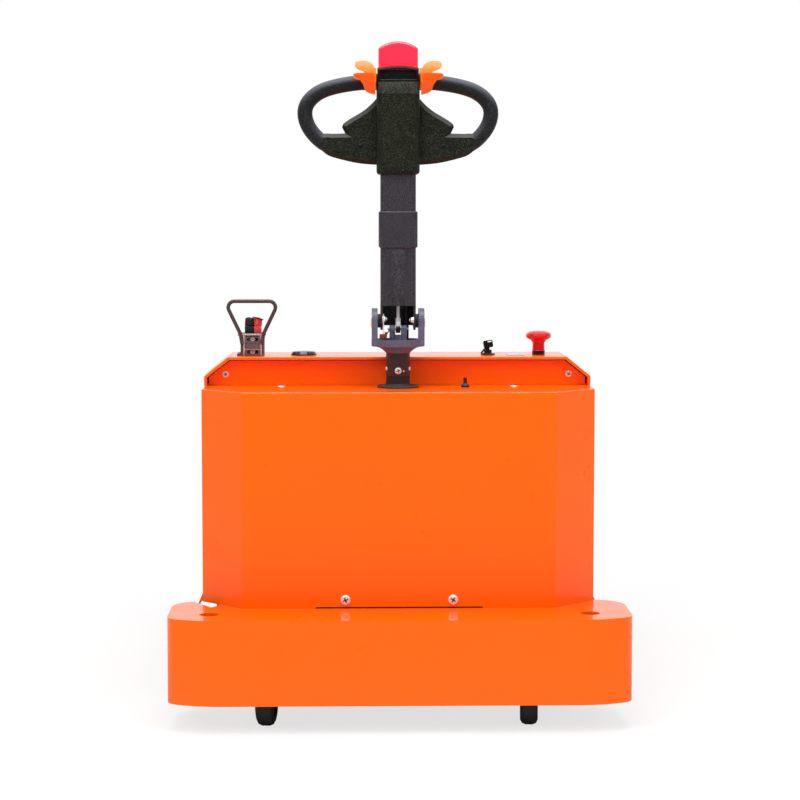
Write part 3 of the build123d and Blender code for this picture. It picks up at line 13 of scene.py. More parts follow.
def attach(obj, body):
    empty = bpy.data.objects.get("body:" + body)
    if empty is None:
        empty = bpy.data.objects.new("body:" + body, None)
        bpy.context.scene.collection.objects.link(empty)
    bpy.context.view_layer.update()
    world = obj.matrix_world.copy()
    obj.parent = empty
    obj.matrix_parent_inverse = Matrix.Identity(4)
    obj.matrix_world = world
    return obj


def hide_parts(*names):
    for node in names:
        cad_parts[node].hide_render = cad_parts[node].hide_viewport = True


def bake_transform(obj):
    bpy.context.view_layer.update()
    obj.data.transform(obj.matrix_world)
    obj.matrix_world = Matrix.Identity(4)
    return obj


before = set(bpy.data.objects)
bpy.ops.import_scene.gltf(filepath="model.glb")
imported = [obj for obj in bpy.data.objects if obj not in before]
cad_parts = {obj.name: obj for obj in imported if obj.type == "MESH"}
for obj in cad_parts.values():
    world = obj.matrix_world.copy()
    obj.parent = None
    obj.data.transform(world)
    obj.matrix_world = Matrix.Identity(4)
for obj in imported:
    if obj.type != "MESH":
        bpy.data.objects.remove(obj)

log = logging.getLogger("tow_tractor")
Colour = tuple[float, float, float]
Point = tuple[float, float, float]
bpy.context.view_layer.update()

FRONT: Point = (0, -1, 0)
BACK: Point = (0, 1, 0)
UP: Point = (0, 0, 1)
DUST_COLOUR: Colour = (0.55, 0.5, 0.44)
COAT_ROUGHNESS = 0.08
SPECK_EDGE = 0.16
MERGE_WITHIN = 1e-6
STOCK_RADIUS = 10.0
NEXT_HEAD_TURN = 37.0


def placed(name: str, data: bpy.types.ID) -> bpy.types.Object:
    """Returns a new object of the scene that shows some data."""
    thing = bpy.data.objects.new(name, data)
    bpy.context.scene.collection.objects.link(thing)
    return thing


def mm(*values: float) -> Vector:
    """Returns a point given in millimetres as a vector in metres."""
    return Vector([v / 1000 for v in values])


# ---- Shared effects -------------------------------------------------------------------------


class Graph:
    """A node tree with short calls that add, set and join nodes."""

    def __init__(self, tree: bpy.types.NodeTree) -> None:
        """Keeps the tree that the calls work on."""
        self.tree = tree

    def add(self, kind: str, **settings: object) -> bpy.types.Node:
        """Adds one node.

        Args:
            kind: the node's Blender type.
            settings: attributes to set, or input sockets by name.

        Returns:
            The new node.
        """
        node = self.tree.nodes.new(kind)
        for key, value in settings.items():
            if hasattr(node, key):
                setattr(node, key, value)
            else:
                node.inputs[key.replace("_", " ")].default_value = value
        return node

    def join(self, source: object, target: object) -> None:
        """Links an output socket to an input socket, or sets the input to a number."""
        if isinstance(source, (int, float)):
            target.default_value = source
        else:
            self.tree.links.new(source, target)

    def place(self) -> object:
        """Returns the piece's own coordinates."""
        return self.add("ShaderNodeTexCoord").outputs["Object"]

    def along(self, vector: object, axis: str) -> object:
        """Returns one coordinate of a vector socket."""
        node = self.add("ShaderNodeSeparateXYZ")
        self.join(vector, node.inputs[0])
        return node.outputs[axis]

    def facing_up(self) -> object:
        """Returns how far the surface faces up, from -1 to 1."""
        return self.along(self.add("ShaderNodeNewGeometry").outputs["Normal"], "Z")

    def mixed(self, share: object, first: object, second: Colour) -> object:
        """Mixes a written colour into a colour socket and returns the result."""
        node = self.add("ShaderNodeMix", data_type="RGBA")
        self.join(share, node.inputs[0])
        self.join(first, node.inputs[6])
        node.inputs[7].default_value = (*second, 1.0)
        return node.outputs[2]

    def bump(self, height: object, strength: object, distance: float, normal: object = None) -> object:
        """Adds a Bump node on a height, over another normal if there is one, and returns its normal."""
        node = self.add("ShaderNodeBump", Distance=distance)
        self.join(strength, node.inputs["Strength"])
        self.join(height, node.inputs["Height"])
        if normal is not None:
            self.join(normal, node.inputs["Normal"])
        return node.outputs["Normal"]

    def maths(self, operation: str, first: object, second: object) -> object:
        """Adds a Math node on two sockets or numbers and returns its result."""
        node = self.add("ShaderNodeMath", operation=operation)
        for slot, value in zip(node.inputs, (first, second)):
            self.join(value, slot)
        return node.outputs[0]

    def ranged(self, value: object, low: float, high: float, to_low: float, to_high: float) -> object:
        """Adds a clamped, smooth Map Range on a socket and returns its result."""
        node = self.add("ShaderNodeMapRange", interpolation_type="SMOOTHSTEP")
        self.join(value, node.inputs["Value"])
        for slot, number in zip(node.inputs[1:5], (low, high, to_low, to_high)):
            slot.default_value = number
        return node.outputs["Result"]

    def noise(self, where: object, scale: object, detail: float = 3.0, rough: float = 0.5) -> object:
        """Adds a noise pattern on a coordinate socket and returns its value."""
        node = self.add("ShaderNodeTexNoise", Detail=detail, Roughness=rough)
        self.join(where, node.inputs["Vector"])
        self.join(scale, node.inputs["Scale"])
        return node.outputs["Fac"]


def shared_group(name: str, inputs: dict[str, tuple[str, object]],
                 output: tuple[str, str]) -> tuple[Graph, object, object]:
    """Makes an empty node group with its sockets.

    Args:
        name: the group's name.
        inputs: socket type and default by socket name.
        output: the output's name and socket type.

    Returns:
        The graph, its input node and its output node.
    """
    tree = bpy.data.node_groups.new(name, "ShaderNodeTree")
    for label, (kind, default) in inputs.items():
        socket = tree.interface.new_socket(label, in_out="INPUT", socket_type=kind)
        socket.default_value = default
    tree.interface.new_socket(output[0], in_out="OUTPUT", socket_type=output[1])
    graph = Graph(tree)
    return graph, graph.add("NodeGroupInput"), graph.add("NodeGroupOutput")


class Effects:
    """Effects that several finishes share: uneven colour, settled dust and fine grain."""

    def __init__(self) -> None:
        """Makes the groups."""
        self.uneven = self._uneven()
        self.dusty = self._dusty()
        self.grain = self._grain()
        self.patchy = self._patchy()

    def _uneven(self) -> bpy.types.NodeTree:
        """Colour that grows a little lighter and darker in soft patches."""
        numbers = {"Colour": ("NodeSocketColor", (1, 1, 1, 1)), "Amount": ("NodeSocketFloat", 0.1),
                   "Scale": ("NodeSocketFloat", 6.0)}
        graph, given, made = shared_group("UnevenColour", numbers, ("Colour", "NodeSocketColor"))
        soft = graph.noise(graph.place(), given.outputs["Scale"], 4.0, 0.6)
        swing = graph.maths("SUBTRACT", soft, 0.5)
        gain = graph.maths("ADD", graph.maths("MULTIPLY", swing, given.outputs["Amount"]), 1.0)
        tint = graph.add("ShaderNodeVectorMath", operation="SCALE")
        graph.join(given.outputs["Colour"], tint.inputs[0])
        graph.join(gain, tint.inputs["Scale"])
        graph.join(tint.outputs[0], made.inputs[0])
        return graph.tree

    def _dusty(self) -> bpy.types.NodeTree:
        """Colour with a thin film of dust where the surface faces up."""
        numbers = {"Colour": ("NodeSocketColor", (1, 1, 1, 1)), "Dust": ("NodeSocketFloat", 0.05)}
        graph, given, made = shared_group("SettledDust", numbers, ("Colour", "NodeSocketColor"))
        up = graph.ranged(graph.facing_up(), 0.5, 1.0, 0.0, 1.0)
        spots = graph.ranged(graph.noise(graph.place(), 22.0, 5.0, 0.65), 0.35, 0.75, 0.3, 1.0)
        share = graph.maths("MULTIPLY", graph.maths("MULTIPLY", up, spots), given.outputs["Dust"])
        graph.join(graph.mixed(share, given.outputs["Colour"], DUST_COLOUR), made.inputs[0])
        return graph.tree

    def _grain(self) -> bpy.types.NodeTree:
        """Normal with a fine grain of a given size and depth over soft waves."""
        numbers = {"Scale": ("NodeSocketFloat", 900.0), "Depth": ("NodeSocketFloat", 0.3),
                   "Waves": ("NodeSocketFloat", 0.1)}
        graph, given, made = shared_group("FineGrain", numbers, ("Normal", "NodeSocketVector"))
        place = graph.place()
        fine = graph.noise(place, given.outputs["Scale"], 2.0)
        small = graph.bump(fine, given.outputs["Depth"], 0.0004)
        large = graph.bump(graph.noise(place, 14.0, 2.0), given.outputs["Waves"], 0.004, small)
        graph.join(large, made.inputs[0])
        return graph.tree

    def _patchy(self) -> bpy.types.NodeTree:
        """Roughness that changes in patches and rises toward the floor."""
        numbers = {"Roughness": ("NodeSocketFloat", 0.4), "Spread": ("NodeSocketFloat", 0.08)}
        graph, given, made = shared_group("PatchyGloss", numbers, ("Roughness", "NodeSocketFloat"))
        place = graph.place()
        patch = graph.maths("SUBTRACT", graph.noise(place, 17.0, 5.0, 0.62), 0.5)
        low = graph.ranged(graph.along(place, "Z"), 0.0, 0.16, 0.5, 0.0)
        both = graph.maths("ADD", graph.maths("MULTIPLY", patch, 2.0), low)
        shift = graph.maths("MULTIPLY", both, given.outputs["Spread"])
        graph.join(graph.maths("ADD", given.outputs["Roughness"], shift), made.inputs[0])
        return graph.tree


# ---- Finishes -------------------------------------------------------------------------------


@dataclass(frozen=True)
class Finish:
    """One surface finish: its colour, its gloss and the size of its grain.

    Args:
        name: the material's name.
        colour: base colour, linear.
        roughness: middle roughness.
        metallic: share of metal.
        coat: weight of a clear coat.
        grain: grains to the metre.
        depth: how deep the grain is.
        waves: how wavy the whole surface is.
        uneven: how much the colour changes from patch to patch.
        dust: how much dust lies on faces that look up.
        specular: how strongly the surface mirrors.
    """

    name: str
    colour: Colour
    roughness: float
    metallic: float = 0.0
    coat: float = 0.0
    grain: float = 900.0
    depth: float = 0.2
    waves: float = 0.0
    uneven: float = 0.12
    dust: float = 0.0
    specular: float = 0.5

    def build(self, effects: Effects) -> bpy.types.Material:
        """Makes the material.

        Args:
            effects: the shared node groups.

        Returns:
            The new material.
        """
        made = bpy.data.materials.new(self.name)
        made.use_nodes = True
        graph = Graph(made.node_tree)
        shader = made.node_tree.nodes["Principled BSDF"]
        for socket, value in (("Metallic", self.metallic), ("Coat Weight", self.coat),
                              ("Coat Roughness", COAT_ROUGHNESS), ("Specular IOR Level", self.specular)):
            shader.inputs[socket].default_value = value
        graph.join(self._colour(graph, effects), shader.inputs["Base Color"])
        gloss = graph.add("ShaderNodeGroup", node_tree=effects.patchy, Roughness=self.roughness)
        graph.join(gloss.outputs[0], shader.inputs["Roughness"])
        grain = graph.add("ShaderNodeGroup", node_tree=effects.grain, Scale=self.grain,
                          Depth=self.depth, Waves=self.waves)
        graph.join(grain.outputs[0], shader.inputs["Normal"])
        self.detail(graph, shader, grain)
        return made

    def _colour(self, graph: Graph, effects: Effects) -> object:
        """Joins uneven colour and dust, and returns the colour's socket."""
        base = graph.add("ShaderNodeGroup", node_tree=effects.uneven, Amount=self.uneven)
        base.inputs["Colour"].default_value = (*self.colour, 1.0)
        dusty = graph.add("ShaderNodeGroup", node_tree=effects.dusty, Dust=self.dust)
        graph.join(base.outputs[0], dusty.inputs["Colour"])
        return dusty.outputs[0]

    def detail(self, graph: Graph, shader: bpy.types.Node, grain: bpy.types.Node) -> None:
        """Adds what only this kind of finish has; the plain one has nothing more."""


@dataclass(frozen=True)
class TurnedSteel(Finish):
    """Bright steel with the fine rings and streaks that turning and drawing leave."""

    streaks: Colour = (60.0, 60.0, 1400.0)

    def detail(self, graph: Graph, shader: bpy.types.Node, grain: bpy.types.Node) -> None:
        """Adds streaks across the axis that the piece was drawn or turned along."""
        stretch = graph.add("ShaderNodeMapping")
        stretch.inputs["Scale"].default_value = self.streaks
        graph.join(graph.place(), stretch.inputs["Vector"])
        lines = graph.noise(stretch.outputs["Vector"], 1.0, 4.0, 0.7)
        gloss = graph.ranged(lines, 0.3, 0.7, self.roughness - 0.09, self.roughness + 0.12)
        graph.join(gloss, shader.inputs["Roughness"])
        graph.join(graph.bump(lines, 0.12, 0.0002, grain.outputs[0]), shader.inputs["Normal"])


@dataclass(frozen=True)
class TwoTone(Finish):
    """A finish whose colour changes where one coordinate passes a limit."""

    other: Colour = (0.5, 0.5, 0.5)
    axis: str = "X"
    limit: float = 0.0

    def detail(self, graph: Graph, shader: bpy.types.Node, grain: bpy.types.Node) -> None:
        """Mixes the second colour in past the limit."""
        past = graph.maths("GREATER_THAN", graph.along(graph.place(), self.axis), self.limit)
        base = shader.inputs["Base Color"]
        graph.join(graph.mixed(past, base.links[0].from_socket, self.other), base)


@dataclass(frozen=True)
class Speckled(Finish):
    """A moulded or coated surface whose fine grain shows as paler flecks, and whose tops can take a paler
    painted highlight that stands in for light from above.
    """

    fleck: Colour = (0.1, 0.1, 0.1)
    size: float = 620.0
    share: float = 0.5
    # Strength and colour of a painted highlight on faces that look up, standing in for light from above.
    top_highlight: float = 0.0
    top_highlight_colour: Colour = (0.11, 0.108, 0.14)

    def detail(self, graph: Graph, shader: bpy.types.Node, grain: bpy.types.Node) -> None:
        """Mixes the flecks in where a fine noise is high, and a paler colour where the surface faces up:
        a painted highlight for the light from above.
        """
        fine = graph.noise(graph.place(), self.size, 2.0, 0.6)
        spots = graph.ranged(fine, self.share, self.share + SPECK_EDGE, 0.0, 1.0)
        # Painted highlight: up-facing faces are mixed toward a paler colour.
        top_highlight = graph.ranged(graph.facing_up(), 0.05, 0.85, 0.0, self.top_highlight)
        base = shader.inputs["Base Color"]
        flecked = graph.mixed(spots, base.links[0].from_socket, self.fleck)
        graph.join(graph.mixed(top_highlight, flecked, self.top_highlight_colour), base)


class Look(Enum):
    """The machine's finishes by the piece that wears them."""

    ORANGE = Finish("orange_paint", (0.98, 0.13, 0.0), 0.3, coat=0.5, grain=800, depth=0.16,
                    uneven=0.04, dust=0.003, specular=0.2)
    FRAME = Finish("frame_paint", (0.018, 0.018, 0.02), 0.5, grain=700, depth=0.25, dust=0.06)
    CAST = Finish("cast_iron", (0.045, 0.045, 0.05), 0.5, metallic=0.3, grain=520, depth=0.7, waves=0.12)
    COLUMN = TurnedSteel("column_steel", (0.36, 0.34, 0.34), 0.27, metallic=1.0, depth=0.05)
    PINS = TurnedSteel("pin_steel", (0.5, 0.49, 0.48), 0.3, metallic=1.0, depth=0.05,
                       streaks=(1400.0, 60.0, 60.0))
    ZINC = Finish("zinc_plate", (0.62, 0.62, 0.6), 0.34, metallic=1.0, grain=800, depth=0.15, uneven=0.2)
    ARM = Speckled("black_coating", (0.026, 0.023, 0.028), 0.45, grain=760, depth=0.5, uneven=0.1,
                   specular=0.4, fleck=(0.115, 0.105, 0.125), size=700)
    YOKE = Speckled("cast_coating", (0.09, 0.082, 0.125), 0.42, grain=600, depth=0.45, waves=0.08,
                    fleck=(0.2, 0.185, 0.26), size=800)
    # The head's tops carry a painted highlight for light from above.
    HEAD = Speckled("black_moulding", (0.007, 0.009, 0.004), 0.55, grain=1000, depth=0.5,
                    specular=0.2, fleck=(0.07, 0.078, 0.055), size=900, share=0.52, top_highlight=0.9,
                    top_highlight_colour=(0.1, 0.1, 0.1))
    # The grips' tops carry a bluish painted highlight for light from above.
    GRIP = Speckled("grip_moulding", (0.013, 0.014, 0.015), 0.52, grain=1000, depth=0.45,
                    specular=0.22, fleck=(0.07, 0.072, 0.07), size=900, share=0.54, top_highlight=0.8)
    RED = Finish("red_moulding", (0.93, 0.03, 0.075), 0.24, coat=0.4, grain=300, depth=0.04, uneven=0.08)
    STOP = TwoTone("stop_red", (0.012, 0.012, 0.012), 0.3, coat=0.2, grain=500, depth=0.08,
                   other=(0.66, 0.003, 0.01), axis="Z", limit=0.6192)
    # Darker copy of the button's red: painted shade on the button's lower lip.
    RED_SHADE = Finish("red_moulding_painted_shade", (0.6, 0.002, 0.01), 0.3, grain=400, depth=0.05)
    # Darker copy of the paddles' orange: painted shade on their lower wings.
    PADDLE_SHADE = Finish("orange_moulding_painted_shade", (0.9, 0.085, 0.0), 0.38, grain=1100, depth=0.15, specular=0.3)
    FACET = Speckled("pale_moulding", (0.018, 0.019, 0.015), 0.5, grain=1000, depth=0.5,
                     specular=0.3, fleck=(0.12, 0.125, 0.1), size=900, share=0.5)
    # The paddles' orange, set light as painted light on their upward-facing upper lobes.
    PADDLE = Finish("orange_moulding", (1.0, 0.21, 0.014), 0.38, grain=1100, depth=0.15)
    PLUG = Finish("grey_moulding", (0.085, 0.07, 0.06), 0.45, grain=1100, depth=0.4)
    GLOSS = Finish("black_gloss", (0.012, 0.012, 0.013), 0.2, coat=0.3, grain=500, depth=0.05)
    SOFT = Finish("soft_rubber", (0.02, 0.019, 0.02), 0.55, depth=0.3, dust=0.03)
    TYRE = Finish("black_rubber", (0.017, 0.017, 0.017), 0.66, grain=420, depth=0.6, dust=0.05)
    TREAD = Finish("drive_tread", (0.33, 0.09, 0.02), 0.48, grain=420, depth=0.4, dust=0.05)
    PLATE = Finish("pale_plate", (0.42, 0.47, 0.55), 0.32, depth=0.08, uneven=0.06)
    SHEATH = Finish("cable_sheath", (0.02, 0.02, 0.022), 0.4, grain=700, depth=0.2)
    REDRUBBER = Finish("red_sheath", (0.8, 0.07, 0.08), 0.4, grain=700, depth=0.15)
    # Near-black red for a line of painted shade in the gap round the console's panel.
    GAP_SHADE = Finish("painted_gap_shade", (0.03, 0.004, 0.002), 0.6, grain=700, depth=0.1, specular=0.1)
    FACE = Finish("plug_plate", (0.13, 0.095, 0.1), 0.45, grain=1100, depth=0.4)
    LEADS = TwoTone("lead_sheath", (0.035, 0.033, 0.036), 0.42, grain=800, depth=0.2,
                    other=(0.42, 0.02, 0.018), axis="X", limit=-0.257)
    NICKEL = Finish("nickel_plate", (0.92, 0.88, 0.88), 0.28, metallic=0.35, depth=0.08,
                    uneven=0.1)
    # Dark steel for the head's screws, and the painted shade in cross recesses.
    DARK_STEEL_AND_SHADE = Finish("black_oxide_and_recess_shade", (0.03, 0.03, 0.032), 0.4, metallic=0.6, depth=0.2)
    COPPER = Finish("contact_metal", (0.62, 0.5, 0.5), 0.35, metallic=0.5, depth=0.1)
    BARS = Finish("pale_bars", (0.5, 0.42, 0.42), 0.4, depth=0.1)
    LEVER = Finish("brown_moulding", (0.16, 0.035, 0.02), 0.45, depth=0.2)
    COLLAR = Finish("collar_coating", (0.05, 0.032, 0.036), 0.4, grain=500, depth=0.4, specular=0.4)
    HANDLE = Finish("handle_coating", (0.075, 0.05, 0.055), 0.35, grain=700, depth=0.2, specular=0.4)
    BRIGHT = TwoTone("bright_rod", (0.02, 0.02, 0.02), 0.3, metallic=0.4, depth=0.05,
                      other=(0.8, 0.8, 0.8), axis="Z", limit=0.668)
    MOTOR = Finish("dark_paint", (0.03, 0.03, 0.035), 0.45, grain=600, depth=0.4)


NODE_LOOKS: dict[Look, tuple[str, ...]] = {
    Look.ORANGE: ("bumper", "drive_hood", "console_shell", "console_panel", "side_panel_left",
                  "side_panel_right", "rear_panel", "battery_lid"),
    Look.FRAME: ("front_frame", "rear_frame", "battery_tray", "slew_ring", "caster_mounts", "lid_hinges"),
    Look.CAST: ("gearbox", "drive_hub", "tow_jaw", "rear_hub_left", "rear_hub_right"),
    Look.COLUMN: ("steering_column", "tow_pin"),
    Look.BRIGHT: ("gas_rod",),
    Look.PINS: ("hinge_pins", "yoke_pins", "gas_top_pin", "rear_axle"),
    Look.HANDLE: ("connector_handle",),
    Look.ZINC: ("caster_fork_left", "caster_fork_right"),
    Look.ARM: ("tiller_arm", "arm_sleeve", "gas_cylinder"),
    Look.YOKE: ("yoke",),
    Look.COLLAR: ("column_collar",),
    Look.HEAD: ("head_housing",),
    Look.GRIP: ("grip_left", "grip_right"),
    Look.RED: ("belly_button",),
    Look.STOP: ("stop_button",),
    Look.PADDLE: ("throttle_paddles",),
    Look.PLUG: ("power_connector", "connector_plug"),
    Look.GLOSS: ("charge_gauge", "key_switch"),
    Look.SOFT: ("column_grommet", "toggle_switch"),
    Look.SHEATH: ("cable_foot", "cable_run"),
    Look.LEADS: ("battery_leads",),
    Look.TYRE: ("rear_tyre_left", "rear_tyre_right", "caster_wheel_left", "caster_wheel_right"),
    Look.TREAD: ("drive_tyre",),
    Look.PLATE: ("label_plate",),
    Look.MOTOR: ("drive_motor", "battery"),
}


class Paintshop:
    """Makes each finish once and puts it on nodes and pieces."""

    def __init__(self) -> None:
        """Makes the shared effects and every finish."""
        self.effects = Effects()
        self.made = {look: look.value.build(self.effects) for look in Look}

    def coat(self, piece: bpy.types.Object, look: Look) -> None:
        """Gives a piece one finish in its first material slot."""
        piece.data.materials.clear()
        piece.data.materials.append(self.made[look])

    def dress_nodes(self) -> None:
        """Gives every node of the frame its finish."""
        for look, names in NODE_LOOKS.items():
            for name in names:
                self.coat(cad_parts[name], look)
                log.info("node %s wears %s", name, look.value.name)


# ---- Forms ----------------------------------------------------------------------------------


def facing(place: Vector, way: Point, roll: float = 0.0) -> Matrix:
    """Returns the frame at a place whose Z axis points a given way.

    Args:
        place: its origin, in metres.
        way: the direction of its Z axis.
        roll: its turn about that axis, in degrees.
    """
    turn = Vector(way).to_track_quat("Z", "Y").to_matrix().to_4x4()
    return Matrix.Translation(place) @ turn @ Matrix.Rotation(math.radians(roll), 4, "Z")


def upright(x: float, y: float, z: float, roll: float = 0.0) -> Matrix:
    """Returns the frame at a place in millimetres whose Z axis points up, turned about it by roll."""
    return facing(mm(x, y, z), UP, roll)


class Form:
    """One piece in the making: a mesh with short calls that add plain bodies to it.

    All sizes are in millimetres.
    """

    def __init__(self, name: str) -> None:
        """Starts an empty mesh.

        Args:
            name: the piece's name.
        """
        self.name = name
        self.mesh = bmesh.new()

    def take(self, part: bmesh.types.BMesh, place: Matrix) -> None:
        """Adds a closed part at its place and uses it up."""
        bmesh.ops.recalc_face_normals(part, faces=part.faces)
        bmesh.ops.transform(part, matrix=place, verts=part.verts)
        held = bpy.data.meshes.new("held")
        part.to_mesh(held)
        part.free()
        self.mesh.from_mesh(held)
        bpy.data.meshes.remove(held)

    @staticmethod
    def _rounded(part: bmesh.types.BMesh, edges: list, bevel: float, segments: int = 2) -> None:
        """Rounds some edges of a part by a number of millimetres."""
        bmesh.ops.bevel(part, geom=edges, offset=bevel / 1000, offset_type="OFFSET", segments=segments,
                        profile=0.5, affect="EDGES", material=-1)

    def turned(self, profile: list[tuple[float, float]], place: Matrix, steps: int = 40) -> None:
        """Adds a body of revolution about the place's Z axis.

        Args:
            profile: radius and height of each corner.
            place: where the body's own origin and axis go.
            steps: how many sides it has.
        """
        part = bmesh.new()
        corners = [part.verts.new(mm(radius, 0, height)) for radius, height in profile]
        edges = [part.edges.new(pair) for pair in zip(corners, corners[1:])]
        bmesh.ops.spin(part, geom=corners + edges, cent=(0, 0, 0), axis=(0, 0, 1), angle=math.tau,
                       steps=steps, use_merge=True)
        bmesh.ops.remove_doubles(part, verts=part.verts, dist=MERGE_WITHIN)
        self.take(part, place)

    def block(self, size: Point, place: Matrix, bevel: float = 0.0, segments: int = 2) -> None:
        """Adds a box centred on its place, with rounded edges.

        Args:
            size: its three sides.
            place: its centre and directions.
            bevel: how far its edges are rounded.
            segments: steps across each rounded edge.
        """
        part = bmesh.new()
        bmesh.ops.create_cube(part, size=1.0, matrix=Matrix.Diagonal((*mm(*size), 1.0)))
        if bevel:
            self._rounded(part, part.edges[:], bevel, segments)
        self.take(part, place)

    def plate(self, outline: list[tuple[float, float]], thick: float, place: Matrix,
              bevel: float = 0.0) -> None:
        """Adds a flat plate: an outline in the place's X and Y, made thick toward its Z.

        Args:
            outline: the corners in order.
            thick: the plate's thickness.
            place: where the outline lies.
            bevel: how far its edges are rounded.
        """
        part = bmesh.new()
        face = bmesh.ops.contextual_create(part, geom=[part.verts.new(mm(x, y, 0)) for x, y in outline])
        lifted = bmesh.ops.extrude_face_region(part, geom=face["faces"])
        top = [v for v in lifted["geom"] if isinstance(v, bmesh.types.BMVert)]
        bmesh.ops.translate(part, verts=top, vec=mm(0, 0, thick))
        if bevel:
            bmesh.ops.recalc_face_normals(part, faces=part.faces)
            self._rounded(part, part.edges[:], bevel)
        self.take(part, place)

    def prism(self, sides: int, radius: float, height: float, place: Matrix, bevel: float = 0.0) -> None:
        """Adds an upright prism that stands on its place."""
        part = bmesh.new()
        bmesh.ops.create_cone(part, cap_ends=True, segments=sides, radius1=radius / 1000,
                              radius2=radius / 1000, depth=height / 1000,
                              matrix=Matrix.Translation(mm(0, 0, height / 2)))
        if bevel:
            top = [e for e in part.edges if all(v.co.z > height / 1000 - MERGE_WITHIN for v in e.verts)]
            self._rounded(part, top, bevel)
        self.take(part, place)

    def tube(self, points: list[Point], radius: float, rounds: int = 4, smooth: bool = True) -> None:
        """Adds a round tube along a line of points, with flat ends.

        Args:
            points: the line, in millimetres.
            radius: the tube's radius.
            rounds: how fine its section is.
            smooth: whether the line is bent smoothly through the points.
        """
        data = bpy.data.curves.new("line", "CURVE")
        data.dimensions = "3D"
        data.bevel_depth = radius / 1000
        data.bevel_resolution = rounds
        data.use_fill_caps = True
        data.resolution_u = 8
        spline = data.splines.new("BEZIER" if smooth else "POLY")
        knots = spline.bezier_points if smooth else spline.points
        knots.add(len(points) - 1)
        for knot, point in zip(knots, points):
            if smooth:
                knot.co = mm(*point)
                knot.handle_left_type = knot.handle_right_type = "AUTO"
            else:
                knot.co = (*mm(*point), 1.0)
        holder = bpy.data.objects.new("line", data)
        made = bpy.data.meshes.new_from_object(holder)
        part = bmesh.new()
        part.from_mesh(made)
        bmesh.ops.remove_doubles(part, verts=part.verts, dist=MERGE_WITHIN)
        self.take(part, Matrix.Identity(4))
        bpy.data.objects.remove(holder)
        bpy.data.curves.remove(data)
        bpy.data.meshes.remove(made)

    def stock(self) -> bpy.types.Mesh:
        """Ends the form as a plain mesh that can be stamped many times."""
        made = bpy.data.meshes.new(self.name)
        self.mesh.to_mesh(made)
        self.mesh.free()
        return made

    def stamp(self, stock: bpy.types.Mesh, place: Matrix) -> None:
        """Adds a copy of a stock mesh at a place."""
        part = bmesh.new()
        part.from_mesh(stock)
        self.take(part, place)

    def combined(self, other: "Form", operation: str = "DIFFERENCE") -> "Form":
        """Cuts this form with another one and returns what is left as a new form.

        Args:
            other: the form that cuts; both are used up.
            operation: DIFFERENCE or INTERSECT.
        """
        body, knife = (placed(form.name, form.stock()) for form in (self, other))
        cut = body.modifiers.new("cut", "BOOLEAN")
        cut.operation = operation
        cut.object = knife
        cut.solver = "EXACT"
        cut.use_self = True
        bpy.context.view_layer.update()
        left = bpy.data.meshes.new_from_object(body.evaluated_get(bpy.context.evaluated_depsgraph_get()))
        for thing in (body, knife):
            mesh = thing.data
            bpy.data.objects.remove(thing)
            bpy.data.meshes.remove(mesh)
        made = Form(self.name)
        made.mesh.from_mesh(left)
        bpy.data.meshes.remove(left)
        return made

    def piece(self, shop: Paintshop, look: Look, slot: str, body: str | None,
              angle: float = 35.0) -> bpy.types.Object:
        """Ends the form as an object of the scene.

        Args:
            shop: puts the finish on.
            look: the finish.
            slot: not used.
            body: the moving body that it rides on, or None for one that is left unattached.
            angle: edges sharper than this many degrees stay sharp.

        Returns:
            The object.
        """
        made = self.stock()
        made.polygons.foreach_set("use_smooth", [True] * len(made.polygons))
        made.set_sharp_from_angle(angle=math.radians(angle))
        thing = placed(self.name, made)
        shop.coat(thing, look)
        if body:
            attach(thing, body)
        log.info("piece %s: %d faces on %s", self.name, len(made.polygons), body)
        return thing


# ---- Hardware -------------------------------------------------------------------------------


class Drive(Enum):
    """What turns a screw."""

    CROSS = "cross"
    SOCKET = "socket"


class Hardware:
    """Stock screws and bolts, each made once at the stock radius and stamped at its own size."""

    def __init__(self) -> None:
        """Makes the stock."""
        self.pan = {drive: self._pan(drive) for drive in Drive}
        # Dark crosses that paint the shade in cross recesses.
        self.slots = self._recess_shades()
        self.bolt = self._bolt()

    def _pan(self, drive: Drive) -> bpy.types.Mesh:
        """A low domed head with its recess."""
        head = Form("pan_head")
        head.turned([(0, -2), (10, -2), (10, 1.2), (9.4, 3), (7.6, 4.6), (4.4, 5.6), (0, 6)],
                    Matrix.Identity(4), 36)
        knife = Form("recess")
        if drive is Drive.CROSS:
            for turn in (0, 90):
                knife.block((11.5, 2.5, 5.0), upright(0, 0, 5.5, turn))
        else:
            knife.prism(6, 5.0, 6.0, upright(0, 0, 2.4))
        return head.combined(knife).stock()

    def _recess_shades(self) -> bpy.types.Mesh:
        """Dark crosses painted as the shade on the floor of a cross recess."""
        form = Form("cross")
        for turn in (0, 90):
            form.block((11.2, 2.3, 1.0), upright(0, 0, 4.6, turn))
        return form.stock()

    def _bolt(self) -> bpy.types.Mesh:
        """A hexagon head on its washer."""
        form = Form("hex_head")
        form.turned([(0, -1), (10, -1), (10, 1.1), (9.5, 1.6), (0, 1.6)], Matrix.Identity(4), 36)
        form.prism(6, 8.3, 6.2, upright(0, 0, 1.5, 12), 0.7)
        return form.stock()

    def set_many(self, form: Form, stock: bpy.types.Mesh, radius: float, way: Point,
                 places: list[Point], roll: float = 20.0, flat: float = 1.0) -> None:
        """Stamps one kind of head at many places.

        Args:
            form: what the heads join.
            stock: the head.
            radius: the head's radius.
            way: where the heads point.
            places: where they sit, in millimetres.
            roll: turn of the first head, from which each next one is turned on.
            flat: share of its height that the head keeps.
        """
        size = Matrix.Scale(radius / STOCK_RADIUS, 4) @ Matrix.Diagonal((1.0, 1.0, flat, 1.0))
        for number, place in enumerate(places):
            form.stamp(stock, facing(mm(*place), way, roll + NEXT_HEAD_TURN * number) @ size)


# ---- Front of the body ----------------------------------------------------------------------


